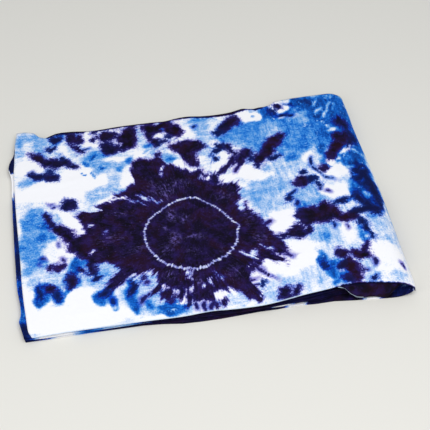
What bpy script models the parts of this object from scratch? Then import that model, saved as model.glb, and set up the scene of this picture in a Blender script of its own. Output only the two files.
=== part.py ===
"""A folded length of hand-dyed cotton, lying flat on the surface it rests on.

The cloth is one sheet. It starts with its free end on top at the left, runs to the right, wraps
round the fat right side to the underside, and then goes back and forth upwards, with tight turns
at the left and loose ones at the right. One short lap reaches only a third of the way from the
right. The front and the back are open edges, where the laps stand out by different amounts.

+X runs to the right along the pack, +Y to its back, +Z up. Tables are in millimetres.
"""

import math
from functools import partial

import bmesh
import bpy
import numpy as np
from mathutils import Matrix

MM = 0.001

# Driving sizes
CLOTH_THICKNESS = 1.1
PACK_FRONT = -210.0
PACK_BACK = 218.0
PACK_DEPTH = PACK_BACK - PACK_FRONT
PACK_HALF_LENGTH = 300.0

# Height of the pack from the surface to its top face, by place along X
HEIGHT_STATIONS = (
    # x, at front, at back
    (-300, 12.9, 12.7),
    (-150, 13.4, 13.6),
    (-50, 14.2, 15.0),
    (25, 16.4, 16.4),
    (62, 19.2, 17.4),
    (100, 23.0, 18.4),
    (130, 26.2, 19.4),
    (180, 30.0, 21.0),
    (225, 31.6, 22.0),
    (300, 32.4, 22.4),
)
MIDDLE_PUFF = 1.6

# Soft ridges and troughs of the laps, strongest on top
RIDGES = (
    # x, y, half length, half width, turned by degrees, rise
    (-205, 120, 120, 42, 12, 1.5),
    (-120, -95, 150, 48, -18, 1.3),
    (60, 60, 170, 45, 28, 1.4),
    (150, -90, 120, 40, 70, -0.9),
    (205, 130, 130, 38, -62, 1.6),
    (-40, 150, 110, 36, 8, -0.8),
)

# The open edges, by place along X
EDGE_STATIONS = (
    # x, top front, top back, bottom front, second back
    (-300, -211, 220, -209, 206),
    (-283, -213, 222, -212, 206),
    (-258, -212.5, 220, -209.5, 206),
    (-251, -212, 216.5, -209, 205),
    (-246, -212, 209, -209, 204),
    (-238, -211.5, 204.5, -209, 203.5),
    (-231, -211, 203.5, -209, 205),
    (-225, -211, 207, -209, 209),
    (-217, -210.5, 210, -208.5, 212.5),
    (-197, -210, 211.5, -208, 214),
    (-157, -209.5, 207.5, -207.5, 210),
    (-105, -209, 210.5, -207, 213),
    (-50, -209, 211, -213, 213.5),
    (-26, -207.5, 210.5, -213, 213),
    (-12, -207, 213.5, -213, 216),
    (10, -208.5, 215.5, -211.5, 218),
    (36, -210, 212, -210, 214.5),
    (62, -211, 211, -208, 213.5),
    (92, -209.5, 213.5, -208, 216.5),
    (107, -208, 218, -208, 220.5),
    (124, -206, 213.5, -204, 216),
    (136, -205, 215, -209, 217.5),
    (152, -204, 216, -205, 218),
    (164, -203, 223.5, -205.5, 225.5),
    (182, -201, 226, -207, 228),
    (212, -201, 228, -210, 229.5),
    (247, -206, 229, -212, 228.5),
    (274, -212, 228, -214, 226),
    (284, -214, 225, -214, 223.5),
    (291, -215, 217, -214, 215.5),
    (300, -214, 206, -212, 205),
)

# The left and right sides, by place along Y, from the front to the back
SIDE_STATIONS = (
    # y, top's free end, outermost left turn, outermost right turn
    (-213, -282, -293.5, 296.5),
    (-204, -286, -295, 298.5),
    (-187, -288, -298, 299),
    (-177, -288.5, -299.5, 298.5),
    (-167, -289, -296.5, 298.5),
    (-150, -290, -296, 298),
    (-120, -291, -298.5, 297.5),
    (-65, -291, -299, 297),
    (30, -292, -298, 295.5),
    (80, -292, -297, 293),
    (128, -291, -297, 290),
    (138, -290, -299, 289.5),
    (147, -289, -299, 289),
    (162, -288, -294.5, 288.5),
    (173, -287, -289.5, 288.5),
    (190, -286, -287, 288.5),
    (221, -281, -282, 287),
)

# The laps in the order in which the sheet runs through them
LAPS = (
    # place in the stack at left, at right, front drawn in, back drawn in, wobble, phase
    (7, 9, 0.0, 0.0, 0.0, 0.0),
    (0, 0, 0.0, 3.0, 0.0, 0.0),
    (1, 1, 1.5, 5.0, 1.2, 0.4),
    (2, 2, 3.0, 3.5, 1.6, 2.1),
    (3, 3, 1.0, 6.0, 1.2, 3.7),
    (4, 4, 3.5, 4.0, 1.8, 5.2),
    (5, 5, 2.0, 2.5, 1.4, 1.3),
    (6, 6, 4.0, 6.5, 1.0, 2.9),
    (7, 7, 3.0, 4.5, 1.0, 4.4),
    (6, 8, 1.5, 0.0, 0.0, 0.0),
)
TOP_LAP, BOTTOM_LAP, SECOND_LAP = 0, 1, 9
SHORT_LAPS = (7, 8)
LAPS_RUNNING_RIGHT = (0, 2, 4, 6, 8)
WOBBLE_LENGTH = 47.0

# The turns that join each lap to the next
TURNS = (
    # side, drawn in from the outermost turn of that side
    ("wrap", 0.0),
    ("left", 1.2),
    ("right", 25.0),
    ("left", 0.4),
    ("right", 9.0),
    ("left", 0.0),
    ("right", 10.5),
    ("short", 0.0),
    ("right", 20.0),
)
SECOND_END_DRAWN_IN = 2.6

# The short lap, and the rise that makes room for it
SHORT_LAP_LEFT = 190.0
SHORT_LAP_SWAY, SHORT_LAP_SWAY_LENGTH = 4.0, 60.0
RISE_START, RISE_END = 105.0, 180.0

# The wrap round the right side: a pointed round nose, its tip nearer the underside
WRAP_TOP_REACH, WRAP_BOTTOM_REACH = 27.0, 35.0
WRAP_TIP_HEIGHT = 0.42
WRAP_SQUARENESS = 1.85

# The second lap's front edge hangs down in two bulges over the edges below it
HANG_STATIONS = (
    # x, how far hung, height of its hem, front of its hem, how far it stands out
    (176, 0.0, 14.0, -203.0, 3.0),
    (188, 0.3, 12.0, -203.5, 4.0),
    (199, 0.75, 9.0, -206.5, 6.5),
    (211, 1.0, 7.4, -210.5, 9.5),
    (223, 1.0, 6.6, -211.0, 9.5),
    (232, 1.0, 5.0, -208.5, 7.0),
    (241, 1.0, 3.6, -211.0, 9.0),
    (250, 1.0, 3.6, -212.5, 9.5),
    (259, 0.85, 4.6, -213.0, 9.0),
    (267, 0.45, 7.0, -212.0, 7.5),
    (272, 0.15, 11.0, -210.5, 6.0),
    (277, 0.0, 14.0, -209.0, 5.0),
)
# The hanging part's share of the lap's depth, and the share over which its pull fades
HANG_SHARE, HANG_EASE = 0.055, 0.28
# How far hung an edge is when it is pulled out in full, and when it starts to drop
PULLED_OUT, STARTS_TO_DROP = 0.35, 0.15
# The laps below are drawn in to this front, over this length to the left of the first bulge
UNDER_HANG_FRONT, UNDER_HANG_LEAD = -197.0, 25.0

# How finely the sheet is divided
LAP_STEPS = (0, 0.035, 0.075, 0.1, 0.135, 0.23, 0.36, 0.5, 0.61, 0.71, 0.81, 0.9, 1)
HANG_STEPS = (0.78, 0.835, 0.86, 0.883, 0.905, 0.921, 0.938, 0.955, 0.97, 0.982, 0.992, 1)
SECOND_STEPS = LAP_STEPS[:10] + HANG_STEPS
SHORT_STEPS = (0, 0.33, 0.66, 1)
DEPTH_STEPS = (0, 0.012, 0.03, 0.055, 0.11, 0.19, 0.29, 0.41, 0.53, 0.65, 0.75, 0.82, 0.88, 0.94, 1)
TURN_STEPS = 4
WRAP_STEPS = 10
SETTLING_ROUNDS = 3

COTTON_BLUE = (0.10, 0.16, 0.42, 1.0)
COTTON_ROUGHNESS = 0.85


def column(table, index):
    return np.array([row[index] for row in table], float)


def eased(value, low, high):
    """0 below low, 1 above high, and a smooth step between."""
    share = np.clip((np.asarray(value, float) - low) / (high - low), 0, 1)
    return share * share * (3 - 2 * share)


def along(table, index, place):
    """A table's column at any place, on a smooth curve through its rows."""
    stops, values = column(table, 0), column(table, index)
    slopes = np.gradient(values, stops)
    place = np.clip(place, stops[0], stops[-1])
    cell = np.clip(np.searchsorted(stops, place, side="right") - 1, 0, len(stops) - 2)
    width = stops[cell + 1] - stops[cell]
    share = (place - stops[cell]) / width
    swing = share * (1 - share)
    straight = values[cell] + (values[cell + 1] - values[cell]) * share
    lean = (values[cell + 1] - values[cell]) / width
    start, end = slopes[cell] - lean, lean - slopes[cell + 1]
    return straight + swing * width * (start * (1 - share) + end * share)


def ridge_height(x, y):
    total = np.zeros_like(x)
    for centre_x, centre_y, half_length, half_width, degrees, rise in RIDGES:
        turn = math.radians(degrees)
        across = (y - centre_y) * math.cos(turn) - (x - centre_x) * math.sin(turn)
        ahead = (x - centre_x) * math.cos(turn) + (y - centre_y) * math.sin(turn)
        fade = (across / half_width) ** 2 + (ahead / half_length) ** 2
        total += rise * np.exp(-fade)
    return total


def room_for_short_lap(x):
    return eased(x, RISE_START, RISE_END)


def pack_height(x, y):
    depth = np.clip((y - PACK_FRONT) / PACK_DEPTH, 0, 1)
    front, back = along(HEIGHT_STATIONS, 1, x), along(HEIGHT_STATIONS, 2, x)
    along_crown = np.cos(x / PACK_HALF_LENGTH * math.pi / 2)
    puff = MIDDLE_PUFF * (1 - (2 * depth - 1) ** 2) * along_crown
    return front + (back - front) * eased(depth, 0, 1) + puff + ridge_height(x, y)


def place_in_stack(lap, x):
    at_left, at_right = LAPS[lap][:2]
    return at_left + (at_right - at_left) * room_for_short_lap(x)


def lap_height(lap, x, y):
    """Height of a lap's middle surface. The bottom lap lies flat on the surface."""
    pitch = (pack_height(x, y) - CLOTH_THICKNESS) / place_in_stack(TOP_LAP, x)
    return CLOTH_THICKNESS / 2 + place_in_stack(lap, x) * pitch


def lap_edges(lap, x):
    """Front and back of a lap at each place along X."""
    _, _, front_in, back_in, wobble, phase = LAPS[lap]
    top_front, bottom_front = along(EDGE_STATIONS, 1, x), along(EDGE_STATIONS, 3, x)
    share = place_in_stack(lap, x) / place_in_stack(TOP_LAP, x)
    front = bottom_front + (top_front - bottom_front) * share + front_in
    front = front + wobble * np.sin(x / WOBBLE_LENGTH + phase)
    back = along(EDGE_STATIONS, 4, x) - back_in
    back = back + wobble * np.cos(x / WOBBLE_LENGTH + phase)
    if lap == TOP_LAP:
        back = along(EDGE_STATIONS, 2, x)
    elif lap not in (BOTTOM_LAP, SECOND_LAP):
        hang_left = HANG_STATIONS[0][0]
        under = eased(x, hang_left - UNDER_HANG_LEAD, hang_left)
        front = front + (np.maximum(front, UNDER_HANG_FRONT) - front) * under
    return front, back


def lap_depth(lap, x, depth):
    """Y and height of a lap at a share of the way from its front to its back."""
    front, back = lap_edges(lap, x)
    y = front + (back - front) * depth
    if lap != SECOND_LAP:
        return y, lap_height(lap, x, y)
    pulled = eased(along(HANG_STATIONS, 1, x), 0, PULLED_OUT)
    dropped = eased(along(HANG_STATIONS, 1, x), STARTS_TO_DROP, 1)
    hem_height, hem_front, stand_out = (along(HANG_STATIONS, index, x) for index in (2, 3, 4))
    shoulder = hem_front + stand_out
    angle = np.clip(1 - depth / HANG_SHARE, 0, 1) * math.pi / 2
    drawn_out = shoulder - (front + (back - front) * HANG_SHARE)
    drawn_out = drawn_out * (1 - eased(depth, HANG_SHARE, HANG_EASE))
    hanging = np.where(depth < HANG_SHARE, shoulder - stand_out * np.sin(angle), y + drawn_out)
    y = y + (hanging - y) * pulled
    z = lap_height(lap, x, np.maximum(y, shoulder))
    return y, z - dropped * (z - hem_height) * (1 - np.cos(angle))


def side_reach(side, drawn_in, y):
    """X of the middle surface at a turn's outermost point."""
    half = CLOTH_THICKNESS / 2
    if side == "left":
        return along(SIDE_STATIONS, 2, y) + half + drawn_in
    if side == "short":
        return SHORT_LAP_LEFT + SHORT_LAP_SWAY * np.sin(y / SHORT_LAP_SWAY_LENGTH) + half
    return along(SIDE_STATIONS, 3, y) - half - drawn_in


def turn_line(number, y):
    """X where a turn leaves the flat of its laps, and the heights of the laps there."""
    side, drawn_in = TURNS[number]
    reach = side_reach(side, drawn_in, y)
    low, high = lap_height(number, reach, y), lap_height(number + 1, reach, y)
    radius = np.abs(high - low) / 2
    x = reach + radius if side in ("left", "short") else reach - radius
    return x, radius, lap_height(number, x, y), lap_height(number + 1, x, y)


def turn_start(number, y):
    return turn_line(number, y)[0]


def wrap_start(lap, y):
    reach = side_reach("wrap", 0, y)
    return reach - (WRAP_TOP_REACH if lap == TOP_LAP else WRAP_BOTTOM_REACH)


def top_free_end(y):
    return along(SIDE_STATIONS, 1, y)


def second_free_end(y):
    return side_reach("left", SECOND_END_DRAWN_IN, y)


def lap_end(lap, end_x, depth):
    """X and Y of a lap's end, where end_x gives the end's line as X at each Y."""
    y = PACK_FRONT + PACK_DEPTH * depth
    for _ in range(SETTLING_ROUNDS):
        x = end_x(y)
        y = lap_depth(lap, x, depth)[0]
    return x, y


def lap_ends(lap):
    """What gives X at each Y where a lap begins and ends, in the sheet's own direction."""
    if lap == TOP_LAP:
        return top_free_end, partial(wrap_start, lap)
    if lap == BOTTOM_LAP:
        return partial(wrap_start, lap), partial(turn_start, lap)
    if lap == SECOND_LAP:
        return partial(turn_start, lap - 1), second_free_end
    return partial(turn_start, lap - 1), partial(turn_start, lap)


def round_turn(number, depth):
    """A half circle from one lap to the next, without its two ends."""
    start = partial(turn_start, number)
    y_a, y_b = lap_end(number, start, depth)[1], lap_end(number + 1, start, depth)[1]
    outward = -1 if TURNS[number][0] in ("left", "short") else 1
    rows = []
    for step in range(1, TURN_STEPS):
        angle = math.pi * step / TURN_STEPS
        share = (1 - math.cos(angle)) / 2
        y = y_a + (y_b - y_a) * share
        x, radius, z_a, z_b = turn_line(number, y)
        rows.append((x + outward * radius * math.sin(angle), y, z_a + (z_b - z_a) * share))
    return rows


def wrap_turn(depth):
    """The pointed round nose from the top lap to the bottom lap, without its two ends."""
    y_a = lap_end(TOP_LAP, partial(wrap_start, TOP_LAP), depth)[1]
    y_b = lap_end(BOTTOM_LAP, partial(wrap_start, BOTTOM_LAP), depth)[1]
    rows = []
    for step in range(1, WRAP_STEPS):
        angle = math.pi * step / WRAP_STEPS
        across = math.sin(angle) ** (2 / WRAP_SQUARENESS)
        upward = abs(math.cos(angle)) ** (2 / WRAP_SQUARENESS)
        lap = TOP_LAP if step <= WRAP_STEPS / 2 else BOTTOM_LAP
        y = y_a + (y_b - y_a) * step / WRAP_STEPS
        start, tip_x = wrap_start(lap, y), side_reach("wrap", 0, y)
        x = start + (tip_x - start) * across
        y = y + (lap_depth(lap, x, depth)[0] - lap_depth(lap, start, depth)[0])
        end_z = lap_height(lap, start, y)
        tip_z = lap_height(TOP_LAP, start, y) * WRAP_TIP_HEIGHT
        rows.append((x, y, tip_z + (end_z - tip_z) * upward))
    return rows


def sheet_points(depth_steps=DEPTH_STEPS):
    """The sheet's middle surface: one line of points for each step along the sheet."""
    depth = np.array(depth_steps, float)
    lines = []
    for lap in range(len(LAPS)):
        begin_x, end_x = lap_ends(lap)
        begin, end = lap_end(lap, begin_x, depth)[0], lap_end(lap, end_x, depth)[0]
        steps = SHORT_STEPS if lap in SHORT_LAPS else LAP_STEPS
        steps = SECOND_STEPS if lap == SECOND_LAP else steps
        runs_right = lap in LAPS_RUNNING_RIGHT
        shares = steps if runs_right else [1 - step for step in reversed(steps)]
        for share in shares:
            x = begin + (end - begin) * share
            lines.append((x, *lap_depth(lap, x, depth)))
        if lap == TOP_LAP:
            lines.extend(wrap_turn(depth))
        elif lap < SECOND_LAP:
            lines.extend(round_turn(lap, depth))
    return np.array(lines).transpose(0, 2, 1) * MM


def cotton_material():
    material = bpy.data.materials.new("dyed_cotton")
    material.use_nodes = True
    shader = material.node_tree.nodes["Principled BSDF"]
    shader.inputs["Base Color"].default_value = COTTON_BLUE
    shader.inputs["Roughness"].default_value = COTTON_ROUGHNESS
    shader.inputs["Metallic"].default_value = 0.0
    return material


def folded_cloth(collection):
    """A flat grid bent along the sheet's run, with the cloth's thickness about it."""
    points = sheet_points()
    columns, rows = points.shape[0] - 1, points.shape[1] - 1
    grid = bmesh.new()
    bmesh.ops.create_grid(grid, x_segments=columns, y_segments=rows, size=1)
    for vertex in grid.verts:
        line = round((vertex.co.x + 1) / 2 * columns)
        row = round((vertex.co.y + 1) / 2 * rows)
        vertex.co = points[line, row]
    mesh = bpy.data.meshes.new("cloth")
    grid.to_mesh(mesh)
    grid.free()
    mesh.shade_smooth()
    mesh.materials.append(cotton_material())
    cloth = bpy.data.objects.new("cloth", mesh)
    collection.objects.link(cloth)
    thickness = cloth.modifiers.new("thickness", "SOLIDIFY")
    thickness.thickness = CLOTH_THICKNESS * MM
    thickness.offset = 0
    thickness.use_even_offset = True
    thickness.use_quality_normals = True
    return cloth


def centre_on_origin(cloth):
    """Moves the mesh so that the middle of the solid's underside is the origin."""
    bpy.context.view_layer.update()
    solid = cloth.evaluated_get(bpy.context.evaluated_depsgraph_get())
    corners = np.array(solid.bound_box)
    low, high = corners.min(axis=0), corners.max(axis=0)
    middle = (low + high) / 2
    cloth.data.transform(Matrix.Translation((-middle[0], -middle[1], -low[2])))


def main():
    for old in list(bpy.data.objects):
        bpy.data.objects.remove(old)
    collection = bpy.data.collections.new("folded_dyed_cloth")
    bpy.context.scene.collection.children.link(collection)
    centre_on_origin(folded_cloth(collection))


main()
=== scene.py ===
"""The looks of a folded length of hand-dyed cotton, lying flat on a pale floor.

The cloth is one sheet on the folds of its solid, with finer creases. Its dyes are charted in
the cloth's own millimetres, as soft fields on the mesh, and the material frays and streaks them.

+X runs to the right along the pack, +Y to its back, +Z up. Tables are in millimetres.
"""

import math
from functools import partial

import bmesh
import bpy
import numpy as np
from mathutils import Euler, Matrix, Vector


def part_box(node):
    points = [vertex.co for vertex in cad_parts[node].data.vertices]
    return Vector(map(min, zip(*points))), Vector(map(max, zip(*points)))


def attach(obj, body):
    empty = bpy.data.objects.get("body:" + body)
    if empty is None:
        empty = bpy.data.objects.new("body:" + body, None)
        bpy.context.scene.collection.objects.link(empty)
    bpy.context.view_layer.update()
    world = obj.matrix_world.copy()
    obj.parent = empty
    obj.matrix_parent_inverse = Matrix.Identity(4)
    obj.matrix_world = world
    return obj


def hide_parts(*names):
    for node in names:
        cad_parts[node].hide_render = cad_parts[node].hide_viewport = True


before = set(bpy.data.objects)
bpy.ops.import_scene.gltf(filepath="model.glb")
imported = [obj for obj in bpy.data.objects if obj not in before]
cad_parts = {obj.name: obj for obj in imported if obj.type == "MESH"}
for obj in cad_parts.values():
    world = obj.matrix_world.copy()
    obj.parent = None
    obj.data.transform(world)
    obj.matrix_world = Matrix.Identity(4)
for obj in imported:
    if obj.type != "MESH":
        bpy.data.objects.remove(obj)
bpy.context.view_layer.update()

MM = 0.001

# Driving sizes
CLOTH_THICKNESS = 1.0
PACK_FRONT = -210.0
PACK_BACK = 218.0
PACK_DEPTH = PACK_BACK - PACK_FRONT
PACK_HALF_LENGTH = 300.0

# Height of the pack from the surface to its top face, by place along X
HEIGHT_STATIONS = (
    # x, at front, at back
    (-300, 12.9, 12.7),
    (-150, 13.4, 13.6),
    (-50, 14.2, 15.0),
    (25, 16.4, 16.4),
    (62, 19.2, 17.4),
    (100, 23.0, 18.4),
    (130, 26.2, 19.4),
    (180, 30.0, 21.0),
    (225, 31.6, 22.0),
    (300, 32.4, 22.4),
)
MIDDLE_PUFF = 1.6

# Soft ridges and troughs of the laps, strongest on top
RIDGES = (
    # x, y, half length, half width, turned by degrees, rise
    (-205, 120, 120, 42, 12, 1.5),
    (-120, -95, 150, 48, -18, 1.3),
    (60, 60, 170, 45, 28, 1.4),
    (150, -90, 120, 40, 70, -0.9),
    (205, 130, 130, 38, -62, 1.6),
    (-40, 150, 110, 36, 8, -0.8),
)

# Creases of the top lap alone
CREASES = (
    # x, y, half length, half width, turned by degrees, rise
    (-215, 92, 78, 5.0, 6, 0.5),
    (-165, 62, 34, 4.5, 34, 0.5),
    (-250, 20, 46, 7.0, -70, 0.35),
    (-232, -120, 70, 6.0, 8, -0.25),
    (-150, -175, 80, 7.0, 4, 0.4),
    (-90, 120, 60, 5.0, -30, 0.4),
    (20, 165, 70, 6.0, 14, 0.5),
    (60, 20, 80, 6.5, 40, 0.5),
    (95, -120, 70, 6.0, -52, 0.5),
    (150, 60, 75, 7.0, 18, 0.6),
    (172, 178, 60, 5.0, -8, 0.8),
    (205, 120, 60, 6.0, 84, 0.5),
    (232, 40, 62, 6.0, -66, 0.7),
    (255, 180, 42, 5.0, -50, 0.7),
    (230, -75, 60, 6.0, -12, 0.5),
    (250, -130, 48, 6.5, 62, 0.6),
    (170, -150, 60, 7.0, 20, 0.5),
    (20, -180, 90, 7.0, 5, 0.4),
)
PUCKER, PUCKER_LENGTH = 0.16, 19.0

# The open edges, by place along X
EDGE_STATIONS = (
    # x, top front, top back, bottom front, second back
    (-300, -211, 220, -209, 206),
    (-283, -213, 222, -212, 206),
    (-258, -212.5, 220, -209.5, 206),
    (-251, -212, 216.5, -209, 205),
    (-246, -212, 209, -209, 204),
    (-238, -211.5, 204.5, -209, 203.5),
    (-231, -211, 203.5, -209, 205),
    (-225, -211, 207, -209, 209),
    (-217, -210.5, 210, -208.5, 212.5),
    (-197, -210, 211.5, -208, 214),
    (-157, -209.5, 207.5, -207.5, 210),
    (-105, -209, 210.5, -207, 213),
    (-50, -209, 211, -213, 213.5),
    (-26, -207.5, 210.5, -213, 213),
    (-12, -207, 213.5, -213, 216),
    (10, -208.5, 215.5, -211.5, 218),
    (36, -210, 212, -210, 214.5),
    (62, -211, 211, -208, 213.5),
    (92, -209.5, 213.5, -208, 216.5),
    (107, -208, 218, -208, 220.5),
    (124, -206, 213.5, -204, 216),
    (136, -205, 215, -209, 217.5),
    (152, -204, 216, -205, 218),
    (164, -203, 223.5, -205.5, 225.5),
    (182, -201, 226, -207, 228),
    (212, -201, 228, -210, 229.5),
    (247, -206, 229, -212, 228.5),
    (274, -212, 228, -214, 226),
    (284, -214, 225, -214, 223.5),
    (291, -215, 217, -214, 215.5),
    (300, -214, 206, -212, 205),
)

# The left and right sides, by place along Y, from the front to the back
SIDE_STATIONS = (
    # y, top's free end, outermost left turn, outermost right turn
    (-213, -282, -293.5, 296.5),
    (-204, -286, -295, 298.5),
    (-187, -288, -298, 299),
    (-177, -288.5, -299.5, 298.5),
    (-167, -289, -296.5, 298.5),
    (-150, -290, -296, 298),
    (-120, -291, -298.5, 297.5),
    (-65, -291, -299, 297),
    (30, -292, -298, 295.5),
    (80, -292, -297, 293),
    (128, -291, -297, 290),
    (138, -290, -299, 289.5),
    (147, -289, -299, 289),
    (162, -288, -294.5, 288.5),
    (173, -287, -289.5, 288.5),
    (190, -286, -287, 288.5),
    (221, -281, -282, 287),
)

# The laps in the order in which the sheet runs through them
LAPS = (
    # place in the stack at left, at right, front drawn in, back drawn in, wobble, phase
    (7, 9, 0.0, 0.0, 0.0, 0.0),
    (0, 0, 0.0, 3.0, 0.0, 0.0),
    (1, 1, 1.5, 5.0, 1.2, 0.4),
    (2, 2, 3.0, 3.5, 1.6, 2.1),
    (3, 3, 1.0, 6.0, 1.2, 3.7),
    (4, 4, 3.5, 4.0, 1.8, 5.2),
    (5, 5, 2.0, 2.5, 1.4, 1.3),
    (6, 6, 4.0, 6.5, 1.0, 2.9),
    (7, 7, 3.0, 4.5, 1.0, 4.4),
    (6, 8, 1.5, 0.0, 0.0, 0.0),
)
TOP_LAP, BOTTOM_LAP, SECOND_LAP = 0, 1, 9
SHORT_LAPS = (7, 8)
WOBBLE_LENGTH = 47.0

# The turns that join each lap to the next
TURNS = (
    # side, drawn in from the outermost turn of that side
    ("wrap", 0.0),
    ("left", 1.2),
    ("right", 25.0),
    ("left", 0.4),
    ("right", 9.0),
    ("left", 0.0),
    ("right", 10.5),
    ("short", 0.0),
    ("right", 20.0),
)
SECOND_END_DRAWN_IN = 2.6

# The left end of the two short laps, and the rise that makes room for them
SHORT_LAP_LEFT = 190.0
SHORT_LAP_SWAY, SHORT_LAP_SWAY_LENGTH = 4.0, 60.0
RISE_START, RISE_END = 105.0, 180.0

# The wrap round the right side: a pointed round nose, its tip nearer the underside
WRAP_TOP_REACH, WRAP_BOTTOM_REACH = 27.0, 35.0
WRAP_TIP_HEIGHT = 0.42
WRAP_SQUARENESS = 1.85

# The second lap's front edge hangs down in two bulges over the edges below it
HANG_STATIONS = (
    # x, how far hung, height of its hem, front of its hem, how far it stands out
    (176, 0.0, 14.0, -203.0, 3.0),
    (188, 0.3, 12.0, -203.5, 4.0),
    (199, 0.75, 9.0, -206.5, 6.5),
    (211, 1.0, 7.4, -210.5, 9.5),
    (223, 1.0, 6.6, -211.0, 9.5),
    (232, 1.0, 5.0, -208.5, 7.0),
    (241, 1.0, 3.6, -211.0, 9.0),
    (250, 1.0, 3.6, -212.5, 9.5),
    (259, 0.85, 4.6, -213.0, 9.0),
    (267, 0.45, 7.0, -212.0, 7.5),
    (272, 0.15, 11.0, -210.5, 6.0),
    (277, 0.0, 14.0, -209.0, 5.0),
)
# The hanging part's share of the lap's depth, and the share over which its pull fades
HANG_SHARE, HANG_EASE = 0.055, 0.28
# How far hung an edge is when it is pulled out in full, and when it starts to drop
PULLED_OUT, STARTS_TO_DROP = 0.35, 0.15
# The laps below are drawn in to this front, over this length to the left of the first bulge
UNDER_HANG_FRONT, UNDER_HANG_LEAD = -197.0, 25.0

# How finely the sheet is divided
TOP_STEPS, LONG_STEPS, SHORT_STEPS, SECOND_STEPS = 189, 19, 8, 59
FRONT_ROWS, MIDDLE_ROWS, BACK_ROWS = 12, 88, 8
BACK_SHARE = 0.94
TURN_STEPS = 6
WRAP_STEPS = 24
SETTLING_ROUNDS = 3


# Folds

def column(table, index):
    return np.array([row[index] for row in table], float)


def eased(value, low, high):
    """0 below low, 1 above high, and a smooth step between."""
    share = np.clip((np.asarray(value, float) - low) / (high - low), 0, 1)
    return share * share * (3 - 2 * share)


def along(table, index, place):
    """A table's column at any place, on a smooth curve through its rows."""
    stops, values = column(table, 0), column(table, index)
    slopes = np.gradient(values, stops)
    place = np.clip(place, stops[0], stops[-1])
    cell = np.clip(np.searchsorted(stops, place, side="right") - 1, 0, len(stops) - 2)
    width = stops[cell + 1] - stops[cell]
    share = (place - stops[cell]) / width
    swing = share * (1 - share)
    straight = values[cell] + (values[cell + 1] - values[cell]) * share
    lean = (values[cell + 1] - values[cell]) / width
    start, end = slopes[cell] - lean, lean - slopes[cell + 1]
    return straight + swing * width * (start * (1 - share) + end * share)


def turned(row, x, y):
    """A point's place along and across a patch, as shares of its half sizes."""
    centre_x, centre_y, half_length, half_width, degrees = row[:5]
    turn = math.radians(degrees)
    ahead = (x - centre_x) * math.cos(turn) + (y - centre_y) * math.sin(turn)
    across = (y - centre_y) * math.cos(turn) - (x - centre_x) * math.sin(turn)
    return ahead / half_length, across / half_width


def swelling(table, x, y):
    """The sum of a table's soft swellings at x, y, each of its last column's amount in its middle."""
    total = np.zeros_like(x)
    for row in table:
        ahead, across = turned(row, x, y)
        total += row[5] * np.exp(-(across ** 2 + ahead ** 2))
    return total


def pucker(x, y):
    """Small unevenness of the top lap, of a few wavelengths that never line up."""
    along_x, along_y = x / PUCKER_LENGTH, y / PUCKER_LENGTH
    waves = np.sin(along_x + 1.7 * np.sin(along_y * 0.61)) * np.sin(along_y * 0.83 + 0.9)
    waves = waves + 0.8 * np.sin(along_x * 0.43 - along_y * 0.57 + 2.1)
    return PUCKER * waves


def room_for_short_laps(x):
    return eased(x, RISE_START, RISE_END)


def pack_height(x, y):
    depth = np.clip((y - PACK_FRONT) / PACK_DEPTH, 0, 1)
    front, back = along(HEIGHT_STATIONS, 1, x), along(HEIGHT_STATIONS, 2, x)
    along_crown = np.cos(x / PACK_HALF_LENGTH * math.pi / 2)
    puff = MIDDLE_PUFF * (1 - (2 * depth - 1) ** 2) * along_crown
    return front + (back - front) * eased(depth, 0, 1) + puff + swelling(RIDGES, x, y)


def place_in_stack(lap, x):
    at_left, at_right = LAPS[lap][:2]
    return at_left + (at_right - at_left) * room_for_short_laps(x)


def lap_height(lap, x, y):
    """Height of a lap's middle surface. The bottom lap lies flat on the surface."""
    pitch = (pack_height(x, y) - CLOTH_THICKNESS) / place_in_stack(TOP_LAP, x)
    height = CLOTH_THICKNESS / 2 + place_in_stack(lap, x) * pitch
    if lap == TOP_LAP:
        height = height + swelling(CREASES, x, y) + pucker(x, y)
    return height


def lap_edges(lap, x):
    """Front and back of a lap at each place along X."""
    _, _, front_in, back_in, wobble, phase = LAPS[lap]
    top_front, bottom_front = along(EDGE_STATIONS, 1, x), along(EDGE_STATIONS, 3, x)
    share = place_in_stack(lap, x) / place_in_stack(TOP_LAP, x)
    front = bottom_front + (top_front - bottom_front) * share + front_in
    front = front + wobble * np.sin(x / WOBBLE_LENGTH + phase)
    back = along(EDGE_STATIONS, 4, x) - back_in
    back = back + wobble * np.cos(x / WOBBLE_LENGTH + phase)
    if lap == TOP_LAP:
        back = along(EDGE_STATIONS, 2, x)
    elif lap not in (BOTTOM_LAP, SECOND_LAP):
        hang_left = HANG_STATIONS[0][0]
        under = eased(x, hang_left - UNDER_HANG_LEAD, hang_left)
        front = front + (np.maximum(front, UNDER_HANG_FRONT) - front) * under
    return front, back


def lap_depth(lap, x, depth):
    """Y and height of a lap at a share of the way from its front to its back."""
    front, back = lap_edges(lap, x)
    y = front + (back - front) * depth
    if lap != SECOND_LAP:
        return y, lap_height(lap, x, y)
    pulled = eased(along(HANG_STATIONS, 1, x), 0, PULLED_OUT)
    dropped = eased(along(HANG_STATIONS, 1, x), STARTS_TO_DROP, 1)
    hem_height, hem_front, stand_out = (along(HANG_STATIONS, index, x) for index in (2, 3, 4))
    shoulder = hem_front + stand_out
    angle = np.clip(1 - depth / HANG_SHARE, 0, 1) * math.pi / 2
    drawn_out = shoulder - (front + (back - front) * HANG_SHARE)
    drawn_out = drawn_out * (1 - eased(depth, HANG_SHARE, HANG_EASE))
    hanging = np.where(depth < HANG_SHARE, shoulder - stand_out * np.sin(angle), y + drawn_out)
    y = y + (hanging - y) * pulled
    z = lap_height(lap, x, np.maximum(y, shoulder))
    return y, z - dropped * (z - hem_height) * (1 - np.cos(angle))


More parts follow.
